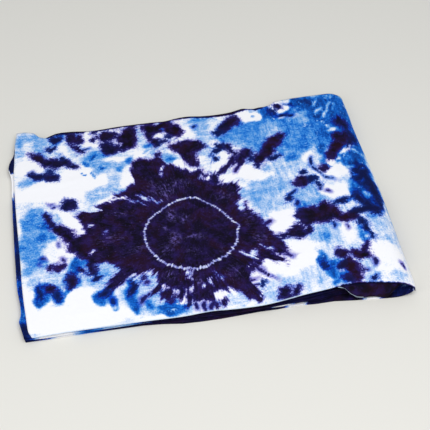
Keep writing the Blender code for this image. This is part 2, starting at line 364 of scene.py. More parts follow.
def side_reach(side, drawn_in, y):
    """X of the middle surface at a turn's outermost point."""
    half = CLOTH_THICKNESS / 2
    if side == "left":
        return along(SIDE_STATIONS, 2, y) + half + drawn_in
    if side == "short":
        return SHORT_LAP_LEFT + SHORT_LAP_SWAY * np.sin(y / SHORT_LAP_SWAY_LENGTH) + half
    return along(SIDE_STATIONS, 3, y) - half - drawn_in


def turn_line(number, y):
    """X where a turn leaves the flat of its laps, and the heights of the laps there."""
    side, drawn_in = TURNS[number]
    reach = side_reach(side, drawn_in, y)
    low, high = lap_height(number, reach, y), lap_height(number + 1, reach, y)
    radius = np.abs(high - low) / 2
    x = reach + radius if side in ("left", "short") else reach - radius
    return x, radius, lap_height(number, x, y), lap_height(number + 1, x, y)


def turn_start(number, y):
    return turn_line(number, y)[0]


def wrap_start(lap, y):
    reach = side_reach("wrap", 0, y)
    return reach - (WRAP_TOP_REACH if lap == TOP_LAP else WRAP_BOTTOM_REACH)


def top_free_end(y):
    return along(SIDE_STATIONS, 1, y)


def second_free_end(y):
    return side_reach("left", SECOND_END_DRAWN_IN, y)


def lap_end(lap, end_x, depth):
    """X and Y of a lap's end, where end_x gives the end's line as X at each Y."""
    y = PACK_FRONT + PACK_DEPTH * depth
    for _ in range(SETTLING_ROUNDS):
        x = end_x(y)
        y = lap_depth(lap, x, depth)[0]
    return x, y


def lap_ends(lap):
    """What gives X at each Y where a lap begins and ends, in the sheet's own direction."""
    if lap == TOP_LAP:
        return top_free_end, partial(wrap_start, lap)
    if lap == BOTTOM_LAP:
        return partial(wrap_start, lap), partial(turn_start, lap)
    if lap == SECOND_LAP:
        return partial(turn_start, lap - 1), second_free_end
    return partial(turn_start, lap - 1), partial(turn_start, lap)


def round_turn(number, depth):
    """A half circle from one lap to the next, without its two ends."""
    start = partial(turn_start, number)
    y_a, y_b = lap_end(number, start, depth)[1], lap_end(number + 1, start, depth)[1]
    outward = -1 if TURNS[number][0] in ("left", "short") else 1
    rows = []
    for step in range(1, TURN_STEPS):
        angle = math.pi * step / TURN_STEPS
        share = (1 - math.cos(angle)) / 2
        y = y_a + (y_b - y_a) * share
        x, radius, z_a, z_b = turn_line(number, y)
        rows.append((x + outward * radius * math.sin(angle), y, z_a + (z_b - z_a) * share))
    return rows


def wrap_turn(depth):
    """The pointed round nose from the top lap to the bottom lap, without its two ends."""
    y_a = lap_end(TOP_LAP, partial(wrap_start, TOP_LAP), depth)[1]
    y_b = lap_end(BOTTOM_LAP, partial(wrap_start, BOTTOM_LAP), depth)[1]
    rows = []
    for step in range(1, WRAP_STEPS):
        angle = math.pi * step / WRAP_STEPS
        across = math.sin(angle) ** (2 / WRAP_SQUARENESS)
        upward = abs(math.cos(angle)) ** (2 / WRAP_SQUARENESS)
        lap = TOP_LAP if step <= WRAP_STEPS / 2 else BOTTOM_LAP
        y = y_a + (y_b - y_a) * step / WRAP_STEPS
        start, tip_x = wrap_start(lap, y), side_reach("wrap", 0, y)
        x = start + (tip_x - start) * across
        y = y + (lap_depth(lap, x, depth)[0] - lap_depth(lap, start, depth)[0])
        end_z = lap_height(lap, start, y)
        tip_z = lap_height(TOP_LAP, start, y) * WRAP_TIP_HEIGHT
        rows.append((x, y, tip_z + (end_z - tip_z) * upward))
    return rows


def depth_shares():
    """The rows across the sheet, closer together at its two edges."""
    front = np.linspace(0, HANG_SHARE, FRONT_ROWS)
    middle = np.linspace(HANG_SHARE, BACK_SHARE, MIDDLE_ROWS)[1:]
    back = np.linspace(BACK_SHARE, 1, BACK_ROWS)[1:]
    return np.concatenate([front, middle, back])


def lap_shares(lap):
    steps = {TOP_LAP: TOP_STEPS, SECOND_LAP: SECOND_STEPS}.get(lap, LONG_STEPS)
    if lap in SHORT_LAPS:
        steps = SHORT_STEPS
    return np.linspace(0, 1, steps + 1)


def folded_lines():
    """The sheet's middle surface as lines of points across it, and the lap that each belongs to."""
    depth = depth_shares()
    lines, laps = [], []
    for lap in range(len(LAPS)):
        begin_x, end_x = lap_ends(lap)
        begin, end = lap_end(lap, begin_x, depth)[0], lap_end(lap, end_x, depth)[0]
        for share in lap_shares(lap):
            x = begin + (end - begin) * share
            lines.append((x, *lap_depth(lap, x, depth)))
            laps.append(lap)
        turn = []
        if lap == TOP_LAP:
            turn = wrap_turn(depth)
        elif lap < SECOND_LAP:
            turn = round_turn(lap, depth)
        lines.extend(turn)
        laps.extend([lap] * len(turn))
    return np.array(lines).transpose(0, 2, 1), np.array(laps)


def flat_places(points, laps):
    """Each point's place on the flat sheet. On the top lap it is the point's own X and Y."""
    steps = np.linalg.norm(np.diff(points, axis=0), axis=2).mean(axis=1)
    run = np.concatenate([[0], np.cumsum(steps)])
    last = TOP_STEPS
    ahead = points[last, :, 0][None] + (run - run[last])[:, None]
    ahead[: last + 1] = points[: last + 1, :, 0]
    depth = PACK_FRONT + PACK_DEPTH * depth_shares()
    across = np.broadcast_to(depth, ahead.shape).copy()
    across[: last + 1] = points[: last + 1, :, 1]
    return ahead, across


# Dyes, and the painted highlight along cut edges

# Amounts of blue, on the scale of BLUES: undyed patches, and the ground that nothing was laid on
WHITE = -1.3
PLAIN_GROUND = 0.25

# Broad washes of blue, from the first laid to the last
WASHES = (
    # x, y, half length, half width, degrees, blue, softness
    # Left, at the back
    (-262, 200, 30, 18, -20, 1.5, 10),
    (-243, 184, 13, 34, 8, 1.6, 7),
    (-266, 190, 9, 7, 0, 0.4, 7),
    (-278, 172, 10, 11, 0, 1.5, 6),
    (-278, 194, 4, 6, 0, 1.6, 5),
    (-222, 168, 16, 20, 0, 0.6, 8),
    (-200, 170, 14, 14, 0, -0.4, 8),
    (-214, 196, 16, 14, 0, 2.2, 6),
    (-186, 184, 20, 26, 0, 0.9, 8),
    (-160, 190, 14, 22, 0, -0.8, 8),
    (-140, 130, 38, 26, -8, 1.3, 10),
    (-152, 135, 20, 28, -10, 1.4, 8),
    (-178, 118, 16, 10, -40, -0.6, 6),
    (-262, 100, 28, 14, 4, 1.6, 7),
    (-272, 88, 12, 8, 0, 1.1, 5),
    (-265, 135, 22, 14, -20, WHITE, 7),
    (-215, 78, 78, 22, 2, WHITE, 9),
    (-190, 108, 20, 12, 0, WHITE, 8),
    (-160, 58, 24, 20, 14, 1.2, 7),
    (-151, 87, 9, 10, 0, WHITE, 5),
    (-131, 76, 11, 26, 0, 1.0, 7),
    (-110, 84, 8, 14, -20, -1.0, 5),
    (-118, 60, 14, 8, 0, 1.3, 5),
    (-150, 145, 16, 8, 0, 2.0, 5),
    (-124, 134, 18, 5, -4, -0.4, 5),
    (-116, 110, 5, 8, 0, 2.5, 4),
    (-99, 124, 6, 7, 0, 2.9, 4),
    (-140, 118, 14, 8, 0, 1.3, 6),
    (-157, 143, 8, 2.6, 68, 3.3, 2.5),
    (-172, 130, 6, 3, -35, 3.4, 2.5),
    (-181, 107, 8, 2.6, -38, 3.3, 2.5),
    (-164, 103, 7, 2.4, -62, 3.1, 2.5),
    (-146, 115, 5, 3, -30, 3.4, 2.5),
    # Middle, at the back
    (-62, 142, 30, 10, 4, 1.2, 6),
    (-78, 140, 12, 8, 0, -0.8, 5),
    (-72, 143, 4, 3, 0, 2.6, 3),
    (-75, 176, 8, 24, 10, 0.9, 5),
    (-62, 158, 12, 6, 0, 2.3, 4),
    (-33, 119, 14, 12, -30, 1.9, 7),
    (-34, 116, 6, 6, 0, 2.5, 4),
    (-20, 104, 8, 8, 0, WHITE, 4),
    (-46, 141, 10, 6, 0, 0.6, 5),
    (8, 177, 11, 13, 0, -0.6, 7),
    (28, 188, 17, 22, 0, 1.3, 7),
    (30, 204, 26, 6, 0, 1.8, 5),
    (36, 158, 20, 15, 0, 1.3, 7),
    (30, 126, 13, 26, 8, 1.1, 6),
    (18, 106, 8, 10, 0, -0.6, 5),
    (46, 142, 10, 8, 0, -0.6, 5),
    (56, 108, 7, 16, -8, WHITE, 4),
    (40, 86, 8, 14, -40, WHITE, 4),
    (84, 178, 30, 16, 0, 1.8, 8),
    (78, 152, 28, 17, 10, 1.9, 7),
    (100, 136, 20, 20, 0, 1.0, 8),
    (108, 176, 18, 8, -14, 2.6, 5),
    # Right, at the back
    (190, -40, 112, 150, 0, 0.6, 20),
    (160, 148, 82, 68, 0, 2.0, 14),
    (262, 150, 40, 90, 0, 2.8, 12),
    (130, 90, 50, 18, 0, 1.1, 8),
    (160, 200, 26, 18, -10, 3.1, 6),
    (170, 162, 6, 28, -6, 2.4, 5),
    (146, 150, 18, 24, 0, 1.5, 8),
    (188, 140, 12, 40, -4, 1.9, 8),
    (203, 137, 6, 34, -4, 2.7, 5),
    (221, 142, 17, 40, 0, 2.5, 8),
    (208, 172, 9, 7, 10, 1.3, 6),
    (196, 113, 9, 14, -10, 2.5, 7),
    (219, 98, 8, 18, -12, 3.0, 5),
    (150, 104, 16, 14, 0, 1.7, 7),
    (166, 84, 11, 11, 0, 2.6, 5),
    (164, 62, 38, 13, 0, 1.1, 7),
    (215, 214, 30, 16, 0, 3.3, 7),
    (240, 190, 26, 30, 0, 3.0, 8),
    (272, 180, 18, 44, 0, 2.9, 8),
    (262, 223, 14, 5, 0, 1.9, 4),
    (250, 130, 30, 24, 0, 3.0, 7),
    (214, 214, 13, 6, -20, 3.8, 4),
    (203, 194, 13, 4, 20, 3.6, 3),
    (248, 65, 34, 26, 10, 2.7, 7),
    (264, 50, 14, 5, -24, 3.7, 4),
    (271, 68, 5, 12, 12, 3.6, 4),
    (280, 90, 12, 44, 0, 3.0, 7),
    (191, 78, 10, 13, -18, -0.3, 6),
    (118, 70, 40, 12, -6, 0.5, 8),
    (92, 62, 22, 12, 10, WHITE, 6),
    (132, 62, 26, 14, 6, 1.2, 7),
    # Right, in the middle
    (120, 28, 34, 24, 0, 1.3, 8),
    (90, 4, 13, 18, 0, 1.6, 7),
    (76, 17, 8, 10, 0, 1.8, 6),
    (106, 50, 22, 7, 0, -0.4, 6),
    (118, -22, 20, 14, 0, 0.6, 7),
    (126, -58, 24, 26, 0, WHITE, 8),
    (176, 14, 30, 12, -10, 1.4, 6),
    (172, -12, 28, 24, 0, 1.5, 8),
    (160, -27, 9, 10, 0, 2.2, 6),
    (182, -22, 10, 7, -20, 2.2, 5),
    (212, 36, 16, 12, 0, -0.8, 5),
    (232, 36, 20, 14, 0, -0.4, 6),
    (222, -6, 24, 14, 0, -0.8, 6),
    (206, 8, 12, 10, 0, 0.3, 5),
    (256, -10, 16, 22, 0, 2.9, 6),
    (274, -10, 20, 62, 0, 3.5, 6),
    (232, -37, 14, 7, 10, 0.3, 4),
    (276, -84, 15, 26, 0, 1.3, 7),
    # Right, at the front
    (186, -92, 34, 18, 8, 1.2, 8),
    (180, -106, 9, 14, 0, 1.8, 6),
    (218, -98, 13, 24, 0, 0.0, 6),
    (143, -128, 30, 26, 0, WHITE, 9),
    (176, -126, 20, 14, 0, 0.4, 8),
    (167, -136, 6, 11, 0, 2.4, 4),
    (243, -106, 9, 18, 0, 2.6, 5),
    (274, -112, 14, 16, 0, 0.9, 7),
    (266, -146, 26, 20, 0, -0.6, 8),
    (262, -176, 26, 16, 0, -0.2, 8),
    (274, -192, 14, 9, 0, 0.9, 6),
    (234, -168, 12, 18, 0, 0.9, 6),
    (167, -150, 9, 15, 20, 3.0, 4),
    (179, -174, 9, 16, 25, 2.9, 4),
    (184, -158, 15, 9, 0, 2.9, 5),
    (196, -176, 16, 20, 0, 2.2, 5),
    (183, -194, 14, 6, 0, 2.5, 4),
    (142, -176, 22, 18, 0, 0.8, 8),
    (236, -196, 14, 10, 0, 1.4, 5),
    (104, -178, 24, 12, 0, 0.9, 6),
    (84, -190, 16, 16, 0, 0.7, 6),
    (74, -152, 10, 16, -30, WHITE, 5),
    (110, -150, 20, 10, -20, WHITE, 6),
    # Middle, at the front
    (20, -192, 30, 14, 0, 1.0, 6),
    (-30, -202, 22, 8, 0, 1.0, 5),
    (-48, -196, 16, 7, 0, 1.9, 5),
    (-80, -188, 32, 18, -10, 3.0, 5),
    (-54, -181, 8, 7, 0, -0.6, 4),
    (-101, -174, 10, 11, 0, 2.5, 4),
    (-100, -142, 26, 20, -20, 0.9, 7),
    (-112, -130, 12, 10, 0, 1.5, 5),
    (-120, -196, 14, 7, 0, WHITE, 5),
    (-100, -207, 26, 4, 0, WHITE, 4),
    # Left, in the middle and at the front
    (-215, -186, 88, 24, 2, WHITE, 7),
    (-282, -150, 10, 50, 0, WHITE, 5),
    (-205, -112, 84, 34, 0, 0.8, 14),
    (-112, -165, 38, 36, 0, 1.0, 12),
    (-205, -148, 22, 16, 0, WHITE, 6),
    (-260, -4, 26, 46, 4, 1.8, 8),
    (-262, 14, 22, 24, 6, 2.1, 8),
    (-240, 6, 8, 24, -58, 2.9, 5),
    (-268, -44, 26, 44, 4, 1.9, 7),
    (-256, -24, 7, 7, 0, 3.2, 5),
    (-240, -25, 5, 4, 0, 3.0, 4),
    (-290, 8, 4, 20, 0, -0.4, 3),
    (-230, 14, 14, 14, -50, 1.0, 6),
    (-236, -58, 18, 22, 0, 0.0, 7),
    (-222, -44, 8, 14, 30, WHITE, 5),
    (-276, -84, 12, 10, 0, 1.8, 5),
    (-250, -96, 26, 16, 0, 0.8, 8),
    (-246, -110, 14, 10, 0, 0.9, 6),
    (-208, -92, 9, 18, -8, 3.1, 5),
    (-192, -86, 12, 12, 0, 2.6, 5),
    (-186, -110, 12, 18, 0, 1.6, 5),
    (-160, -106, 24, 22, 0, 1.3, 7),
    (-216, -118, 14, 16, -10, 2.4, 5),
    (-264, -138, 13, 21, 0, 3.0, 5),
    (-238, -145, 12, 13, 0, 3.1, 5),
    (-248, -126, 12, 10, 0, 2.8, 5),
    (-225, -132, 11, 4, 50, 3.0, 3),
    (-170, -150, 22, 10, 36, 2.9, 4),
    (-178, -163, 10, 8, 30, 2.6, 4),
    (-158, -170, 8, 17, 0, 3.0, 4),
    (-128, -160, 9, 32, 2, 3.1, 4),
    (-105, -180, 6, 10, 0, 3.0, 4),
    (-82, -193, 14, 8, -30, 3.1, 5),
)

# The dark burst: how far it reaches from the ring's middle, by direction
RING_X, RING_Y = -21.0, -49.0
BURST = (
    # degrees, reach
    (-14, 136), (-10, 124), (-5, 113), (0, 112), (6, 115), (11, 102), (19, 102), (27, 104),
    (34, 106), (40, 119), (45, 121), (49, 126), (54, 114), (59, 110), (64, 110), (67, 126),
    (72, 134), (77, 137), (81, 134), (85, 136), (90, 143), (94, 149), (97, 156), (99, 176),
    (102, 180), (106, 180), (109, 187), (113, 184), (117, 174), (120, 163), (122, 140), (127, 146),
    (131, 142), (134, 147), (138, 152), (142, 142), (146, 150), (150, 164), (153, 146), (156, 180),
    (160, 188), (164, 180), (168, 166), (172, 170), (177, 188), (182, 196), (186, 184), (190, 173),
    (195, 152), (200, 131), (205, 132), (210, 130), (215, 118), (222, 103), (230, 103), (240, 108),
    (250, 115), (255, 106), (260, 118), (264, 134), (270, 140), (275, 134), (278, 118), (283, 124),
    (290, 134), (294, 142), (298, 166), (303, 146), (308, 118), (313, 112), (318, 118), (322, 126),
    (326, 152), (330, 146), (333, 156), (337, 146), (341, 148), (346, 136),
)

# Dark dye: x, y, half length, half width, degrees, blueness from purple-black 0 to navy 1
DARKS = (
    # The burst's arms on the left
    (-239, 12, 19, 4.5, -62, 0.4),
    (-226, -10, 14, 9, -45, 0.1),
    (-213, -26, 20, 9, -52, 0.0),
    (-200, -40, 14, 11, -45, 0.0),
    (-200, -67, 9, 7, 10, 0.1),
    (-182, -88, 7, 18, -4, 0.3),
    (-181, -112, 5.5, 10, 0, 0.8),
    (-198, -98, 5, 9, 30, 0.3),
    (-216, -117, 8, 14, -16, 0.35),
    (-145, -124, 26, 10, 42, 0.1),
    (-164, -144, 13, 6, 46, 0.9),
    (-157, -164, 3.5, 9, 0, 1.0),
    (-126, -146, 5.5, 17, -2, 0.9),
    (-107, -124, 7, 5, 0, 0.1),
    (-106, -136, 4, 3, 0, 0.1),
    (-107, -162, 11, 2.6, 42, 0.3),
    (-90, -156, 10, 6, 20, 0.2),
    (-74, -168, 10, 12, -20, 0.15),
    (-112, -169, 9, 2, 36, 0.4),
    # The burst's lobes at the front
    (-67, -137, 20, 22, 0, 0.0),
    (-70, -162, 8, 12, -30, 0.15),
    (-61, -160, 14, 14, 0, 0.1),
    (-34, -196, 3.2, 8, 4, 0.3),
    (-22, -196, 3.2, 9, 0, 0.2),
    (-11, -195, 3.4, 9, -4, 0.2),
    (-27, -166, 18, 22, 0, 0.0),
    (-44, -176, 10, 10, 30, 0.1),
    (5, -193, 9, 8, 30, 0.0),
    (14, -168, 9, 8, -30, 0.1),
    (27, -170, 10, 9, 0, 0.1),
    (-47, -191, 9, 4, 24, 0.4),
    (50, -181, 27, 8, -63, 0.1),
    (45, -178, 9, 19, 0, 0.1),
    (52, -158, 14, 3, 0, 0.0),
    (54, -170, 13, 2.6, -4, 0.0),
    (64, -132, 13, 6, 30, 0.0),
    (78, -151, 19, 2.6, -53, 0.1),
    (70, -171, 5, 5, 0, 0.9),
    # The burst's spikes on the right
    (84, -113, 11, 12, 0, 0.0),
    (102, -112, 16, 9, -16, 0.0),
    (104, -130, 15, 5, -30, 0.0),
    (113, -121, 14, 2.4, -28, 0.1),
    (98, -54, 10, 2.6, 36, 0.1),
    # The shield over the burst, and the strokes beside it
    (-4, 147, 26, 10, -3, 0.0),
    (4, 137, 23, 13, 0, 0.0),
    (0, 117, 13, 22, 0, 0.0),
    (22, 138, 6, 6, 0, 0.6),
    (-48, 132, 6, 7, -50, 0.2),
    (54, 135, 11, 6, -35, 0.7),
    (69, 127, 5, 9, 25, 0.4),
    (73, 112, 5, 12, 6, 0.2),
    (67, 96, 13, 5.5, 62, 0.1),
    (51, 78, 17, 5, 42, 0.1),
    (34, 58, 12, 7, 50, 0.1),
    (42, 107, 4, 9, 0, 0.9),
    (47, 127, 7, 6, 0, 0.9),
    (88, 97, 23, 10, 60, 0.05),
    (96, 106, 8, 6, 0, 0.6),
    (99, 92, 8, 6, 0, 0.8),
    (76, 77, 12, 3.5, 62, 0.0),
    (134, 112, 42, 11, 49, 0.05),
    (116, 94, 15, 11, 25, 0.2),
    (137, 87, 9, 5, -10, 0.9),
    (108, 74, 5, 6, 0, 0.5),
    # Left, at the back
    (-216, 197, 12, 7.5, -4, 0.8),
    (-224, 175, 7.5, 4.5, 30, 0.8),
    (-184, 194, 14, 13, 0, 0.2),
    (-183, 168, 14, 4.6, -48, 0.2),
    (-171, 165, 7, 2.6, -15, 0.9),
    (-153, 184, 4, 5, 0, 0.3),
    (-131, 190, 17, 12, 0, 0.2),
    (-96, 180, 16, 26, 0, 0.0),
    (-131, 160, 15, 14, 0, 0.35),
    (-112, 160, 14, 10, 0, 0.2),
    (-88, 206, 6, 9, 0, 0.1),
    (-148, 206, 8, 5, 0, 0.3),
    (-250, 156, 15, 9.5, -36, 0.25),
    (-236, 144, 17, 8.5, -32, 0.2),
    (-214, 136, 19, 9, -12, 0.3),
    (-196, 128, 12, 4.5, -18, 0.3),
    (-211, 148, 9, 4.5, -70, 0.9),
    (-252, 111, 14, 7, -28, 0.65),
    (-232, 108, 11, 9, -20, 0.5),
    (-228, 121, 4.5, 6, 0, 0.8),
    (-260, 119, 2.6, 5, 10, 0.5),
    (-236, 50, 3, 1.6, -20, 0.2),
    (-233, 41, 3, 2, -10, 0.2),
    (-208, 40, 14, 12, 0, 0.4),
    # Middle, at the back
    (-44, 198, 27, 13, -4, 0.0),
    (-56, 172, 8, 20, 6, 0.1),
    (-50, 158, 6, 8, 0, 0.6),
    (-16, 186, 15, 14, -20, 0.0),
    (-31, 172.5, 5, 4.5, 0, 0.5),
    (-39, 162, 6, 4, -35, 0.4),
    (19, 187, 3, 3, 0, 1.0),
    (84, 189, 18, 11, 24, 0.15),
    (72, 177, 15, 9, 30, 0.4),
    (58, 167, 9, 8, 40, 0.9),
    # Right, at the back
    (153, 202, 9, 5, -50, 0.9),
    (177, 186, 17, 3.4, -14, 1.0),
    (185, 213, 9, 1.8, -40, 1.0),
    (167, 213, 6.5, 6.5, 0, 0.3),
    (267, 150, 18, 7, -45, 0.5),
    (276, 128, 5, 16, 0, 0.8),
    (258, 112, 15, 17, 0, 0.2),
    (247, 98, 14, 12, 40, 0.0),
    (235, 83, 17, 8, 62, 0.0),
    (268, 98, 6, 14, 0, 0.7),
    (278, 108, 5, 12, 0, 1.0),
    (211, 50, 9, 5, 50, 0.1),
    (197, 66, 2.6, 9, -8, 0.9),
    (202, 44, 2.6, 12, 24, 0.9),
    (216, 28, 12, 2, -33, 0.9),
    # Right, in the middle
    (170, 26, 12, 12, 0, 0.05),
    (187, 27, 9, 9, 0, 1.0),
    (178, 43, 6, 7, 20, 0.9),
    (197, 14, 6, 5, -40, 0.9),
    (151, 2, 13, 3, 43, 0.9),
    (143, -9, 5.5, 6, 0, 0.8),
    (152, -20, 3, 7, -20, 0.8),
    (199, 4, 2.4, 4, 0, 0.6),
    (208, -4, 3, 4, 0, 0.2),
    (271, 20, 15, 26, 4, 1.0),
    (280, -8, 10, 20, 0, 0.9),
    (286, -34, 6, 16, 0, 0.9),
    (186, -50, 32, 21, -4, 0.05),
    (160, -52, 14, 18, 0, 0.3),
    (144, -81, 20, 12, 8, 0.2),
    (116, -87, 14, 4.5, -8, 0.2),
    (224, -64, 19, 10, -6, 0.0),
    (258, -55, 28, 8.0, 6, 0.8),
    (231, -27, 23, 5, 20, 0.9),
    (262, -42, 30, 6, -60, 0.9),
    (245, -81, 11, 4, -60, 0.9),
    (252, -101, 4, 18, 0, 0.9),
    (221, -84, 2, 5, 25, 0.2),
    (199, -78, 2.2, 6, 0, 0.9),
    # Right, at the front
    (171, -156, 5, 9, 30, 1.0),
    (198, -140, 9, 9, 30, 0.2),
    (228, -145, 18, 7, -22, 0.0),
    (238, -132, 5, 11, -20, 0.1),
    (245, -163, 3, 10, 0, 0.3),
    (209, -173, 10, 23, 0, 0.0),
    (199, -162, 10, 10, 0, 0.6),
    (197, -189, 9, 8, 0, 0.6),
    (225, -176, 4, 1.6, -10, 0.3),
    (287, -170, 2.6, 6, 0, 0.1),
    (238, -198, 5, 4, 0, 0.8),
    (100, -194, 11, 13, -10, 0.2),
    (119, -196, 5, 10, 0, 0.2),
    # Left, at the front
    (-249, -127, 8, 8, 0, 0.1),
    (-266, -131, 4, 12, 0, 1.0),
    (-240, -143, 7, 9, 0, 1.0),
    (-232, -84, 8, 6, -20, 0.0),
    (-248, -85, 4, 5, 0, 0.1),
    (-226, -72, 2.6, 5, 20, 0.1),
    (-256, -67, 4.5, 2, 14, 0.3),
    (-228, -38, 1.8, 5, 15, 0.3),
    (-263, -79, 2, 2, 0, 0.6),
)

# Patches of lighter cloth within or over the dark dye, from the first laid to the last
LIGHTS = (
    # x, y, half length, half width, degrees, blue
    # Round the burst
    (-206, 6, 30, 6.5, -60, WHITE),
    (-194, -20, 11, 6, -24, WHITE),
    (-179, -8, 5, 5, 0, 0.4),
    (-155, -27, 2.6, 2.2, 0, 0.6),
    (-181, -63, 2.8, 6, 0, 0.2),
    (-127, 45, 13, 2.8, -8, WHITE),
    (-148, 39, 12, 2.4, -4, WHITE),
    (-88, 38, 9, 1.8, -35, 1.0),
    (-97, 28, 10, 1.6, -20, 1.4),
    (-76, 33, 8, 1.6, -40, 1.2),
    (-62, 26, 4, 1.6, 0, 1.0),
    (-49.5, 103, 2, 4, 0, 0.4),
    (-49.5, 88, 2, 5, 0, 0.4),
    (-21, 104, 7, 7, 0, WHITE),
    (-10, 91, 2.2, 4, 0, 0.0),
    (-5, 89, 2.2, 4, 0, 0.0),
    (2, 87, 2.2, 4, 0, 0.0),
    (12, 95, 2.4, 8, -6, 0.4),
    (20, 100, 3, 12, -8, 0.2),
    (29, 92, 3.4, 14, -12, 0.4),
    (24, 59, 4, 6, -30, WHITE),
    (12, 70, 2, 7, -10, 1.0),
    (58, 58, 16, 5, 16, WHITE),
    (65, -6, 7, 13, -20, 0.6),
    (-37, -133, 3, 10, 10, 0.9),
    (5, -138, 12, 1.8, -50, 1.0),
    (-5, -152, 2.0, 7, 0, 0.6),
    (-40, -160, 4.4, 4.2, 0, 0.7),
    (-19, -159, 4.4, 4.4, 0, 0.7),
    (-63, -160, 3.4, 5.4, 0, 0.6),
    (-75, -151, 7, 1.8, -8, WHITE),
    (-88, -180, 4.5, 4.5, 0, 0.5),
    (-54, -181, 6, 5, 0, -0.4),
    (2, -180, 7, 9, 0, WHITE),
    (24, -179, 4.6, 10, 10, 0.0),
    (34, -193, 6, 12, 10, 0.9),
    (45, -203, 2.4, 7, 0, 0.2),
    (18, -200, 6, 5, 0, 0.8),
    (-36, -202, 2.4, 8, 0, -0.4),
    (-27, -204, 2.4, 7, 0, -0.4),
    (67, -113, 6, 9, 0, 0.8),
    (58, -106, 9, 2.2, -40, 0.7),
    (92, -101, 8, 2.6, -20, 0.8),
    (76, -146, 8, 8, -50, WHITE),
    (92, -138, 14, 4, -36, WHITE),
    (72, -161, 8, 2.4, 0, WHITE),
    (66, -178, 6, 2.4, 0, 0.3),
    (106, -121, 10, 2, -26, -0.4),
    # Elsewhere
    (-121, 204, 10, 4.5, 8, WHITE),
    (-109, 165, 3, 4, 0, WHITE),
    (-144, 196, 4, 5, 0, 0.3),
    (-178, 200, 2.4, 5, 0, 1.4),
    (-46, 175, 10, 6, 12, WHITE),
    (-42, 209, 7, 3, 0, 0.7),
    (-20, 206, 5, 3, 0, 0.9),
    (-34, 189, 5, 3, 0, 2.6),
    (116, 197, 24, 10.5, -20, WHITE),
    (124, 196, 5, 3, -20, 1.8),
    (167, 222, 11, 4, 0, WHITE),
    (157, 210, 4, 10, 20, WHITE),
    (178, 208, 5, 10, -10, WHITE),
    (167, 202, 9, 4, 0, WHITE),
    (187, 221, 5, 6, 0, 0.2),
    (171, 184, 4, 2.4, -35, WHITE),
    (198, 179, 5, 2.0, 0, 0.8),
    (233, 212, 7, 1.6, 60, 0.7),
    (236, 190, 7, 1.8, 40, 0.7),
    (244, 178, 10, 1.7, 45, 0.5),
    (258, 200, 11, 1.5, 60, 0.8),
    (266, 190, 5, 1.4, 40, 1.0),
    (250, 137, 7, 5, 20, 0.4),
    (242, 146, 3, 3, 0, 0.4),
    (261, 83, 12, 2.8, 28, -0.4),
    (276, 78, 8, 2.2, -40, 0.6),
    (243, 66, 4, 3, 0, 0.4),
    (228, 62, 5, 8, 0, WHITE),
    (236, 52, 5, 2.4, 0, 0.4),
    (232, 36, 18, 12, 0, -0.4),
    (268, 9, 4, 3, 0, 2.8),
    (262, 28, 3, 3, 0, 2.6),
    (276, 36, 3, 4, 0, 2.8),
    (96, 84, 5, 3, -30, 1.0),
    (92, 92, 4, 2.4, -30, 1.4),
    (232, -38, 13, 5, 12, 0.4),
    (271, -24, 11, 5, -56, 1.8),
    (240, -28, 6, 3, 20, 1.8),
    (262, -68, 8, 4, 0, 1.8),
    (152, -74, 3, 2.4, 0, 0.8),
    (146, -60, 6, 3, 20, 0.6),
    (182, -32, 6, 3, 0, 1.6),
    (193, -173, 4.4, 4.4, 0, 0.3),
    (246, -112, 3, 3, 0, 0.4),
    (-158, -178, 3, 2.4, 0, 0.4),
)

# Faint lilac inside the ring and along the burst's streaks
HAZES = (
    # x, y, half length, half width, degrees, amount
    (-48, -55, 9, 12, 0, 1.1),
    (-48, -8, 8, 13, 0, 0.85),
    (-29, -19, 12, 11, 0, 0.7),
    (-61, -33, 7, 3, -40, 1.2),
    (-22, -56, 13, 2.4, 10, 1.0),
    (-10, -60, 14, 8, 0, 0.45),
    (-66, -80, 18, 12, 40, 0.5),
    (-27, -88, 16, 10, 0, 0.4),
    (20, -94, 3, 8, 0, 0.8),
    (30, -30, 16, 10, 0, 0.25),
    (-24, -148, 8, 9, 0, 0.6),
    (-50, 40, 16, 22, 0, 0.5),
    (-70, 60, 16, 20, 0, 0.4),
    (-130, 10, 24, 8, -10, 0.45),
    (-24, 60, 22, 14, 0, 0.5),
    (30, -140, 14, 18, 0, 0.5),
    (72, -30, 10, 24, 0, 0.45),
    (84, -80, 14, 16, 0, 0.5),
    (-110, -70, 30, 12, 10, 0.4),
    (-150, -40, 30, 14, 0, 0.45),
    (-66, -130, 14, 14, 0, 0.5),
    (40, 20, 18, 14, 0, 0.5),
)

# The pale ring where the cloth was tied: its radius by direction from its middle
RING = (
    # degrees, radius
    (-29, 73.4), (-17, 73.1), (-6, 71.7), (0.7, 77.4), (8, 69.7), (24, 64.5), (43, 64.4),
    (52, 65.6), (63, 66.9), (72, 71.5), (77, 73.4), (85, 73.6), (100, 71.2), (116, 68.9),
    (131, 68.0), (147, 72.4), (160, 73.4), (172, 74.7), (183, 74.1), (196, 74.0), (211, 73.6),
    (227, 75.0), (238, 74.1), (250, 73.4), (265, 74.2), (279, 73.8), (292, 69.1), (304, 72.1),
    (316, 72.1),
)

# Dyes of the folded edges under the top lap, by place along each side
FRONT_EDGE_DYES = (
    # x, dark, blue, blueness
    (-300, 8, 4.0, 0.9),
    (-268, 6, 3.8, 0.9),
    (-255, -14, WHITE, 0.5),
    (-228, -14, WHITE, 0.5),
    (-216, -12, 2.6, 0.9),
    (-196, -6, 3.4, 1.0),
    (-168, 2, 4.0, 1.0),
    (-150, 10, 4.0, 0.7),
    (-110, 16, 4.0, 0.3),
    (30, 18, 4.0, 0.1),
    (90, 12, 4.0, 0.4),
    (170, 16, 4.0, 0.2),
    (200, 18, 4.0, 0.0),
    (300, 18, 4.0, 0.0),
)
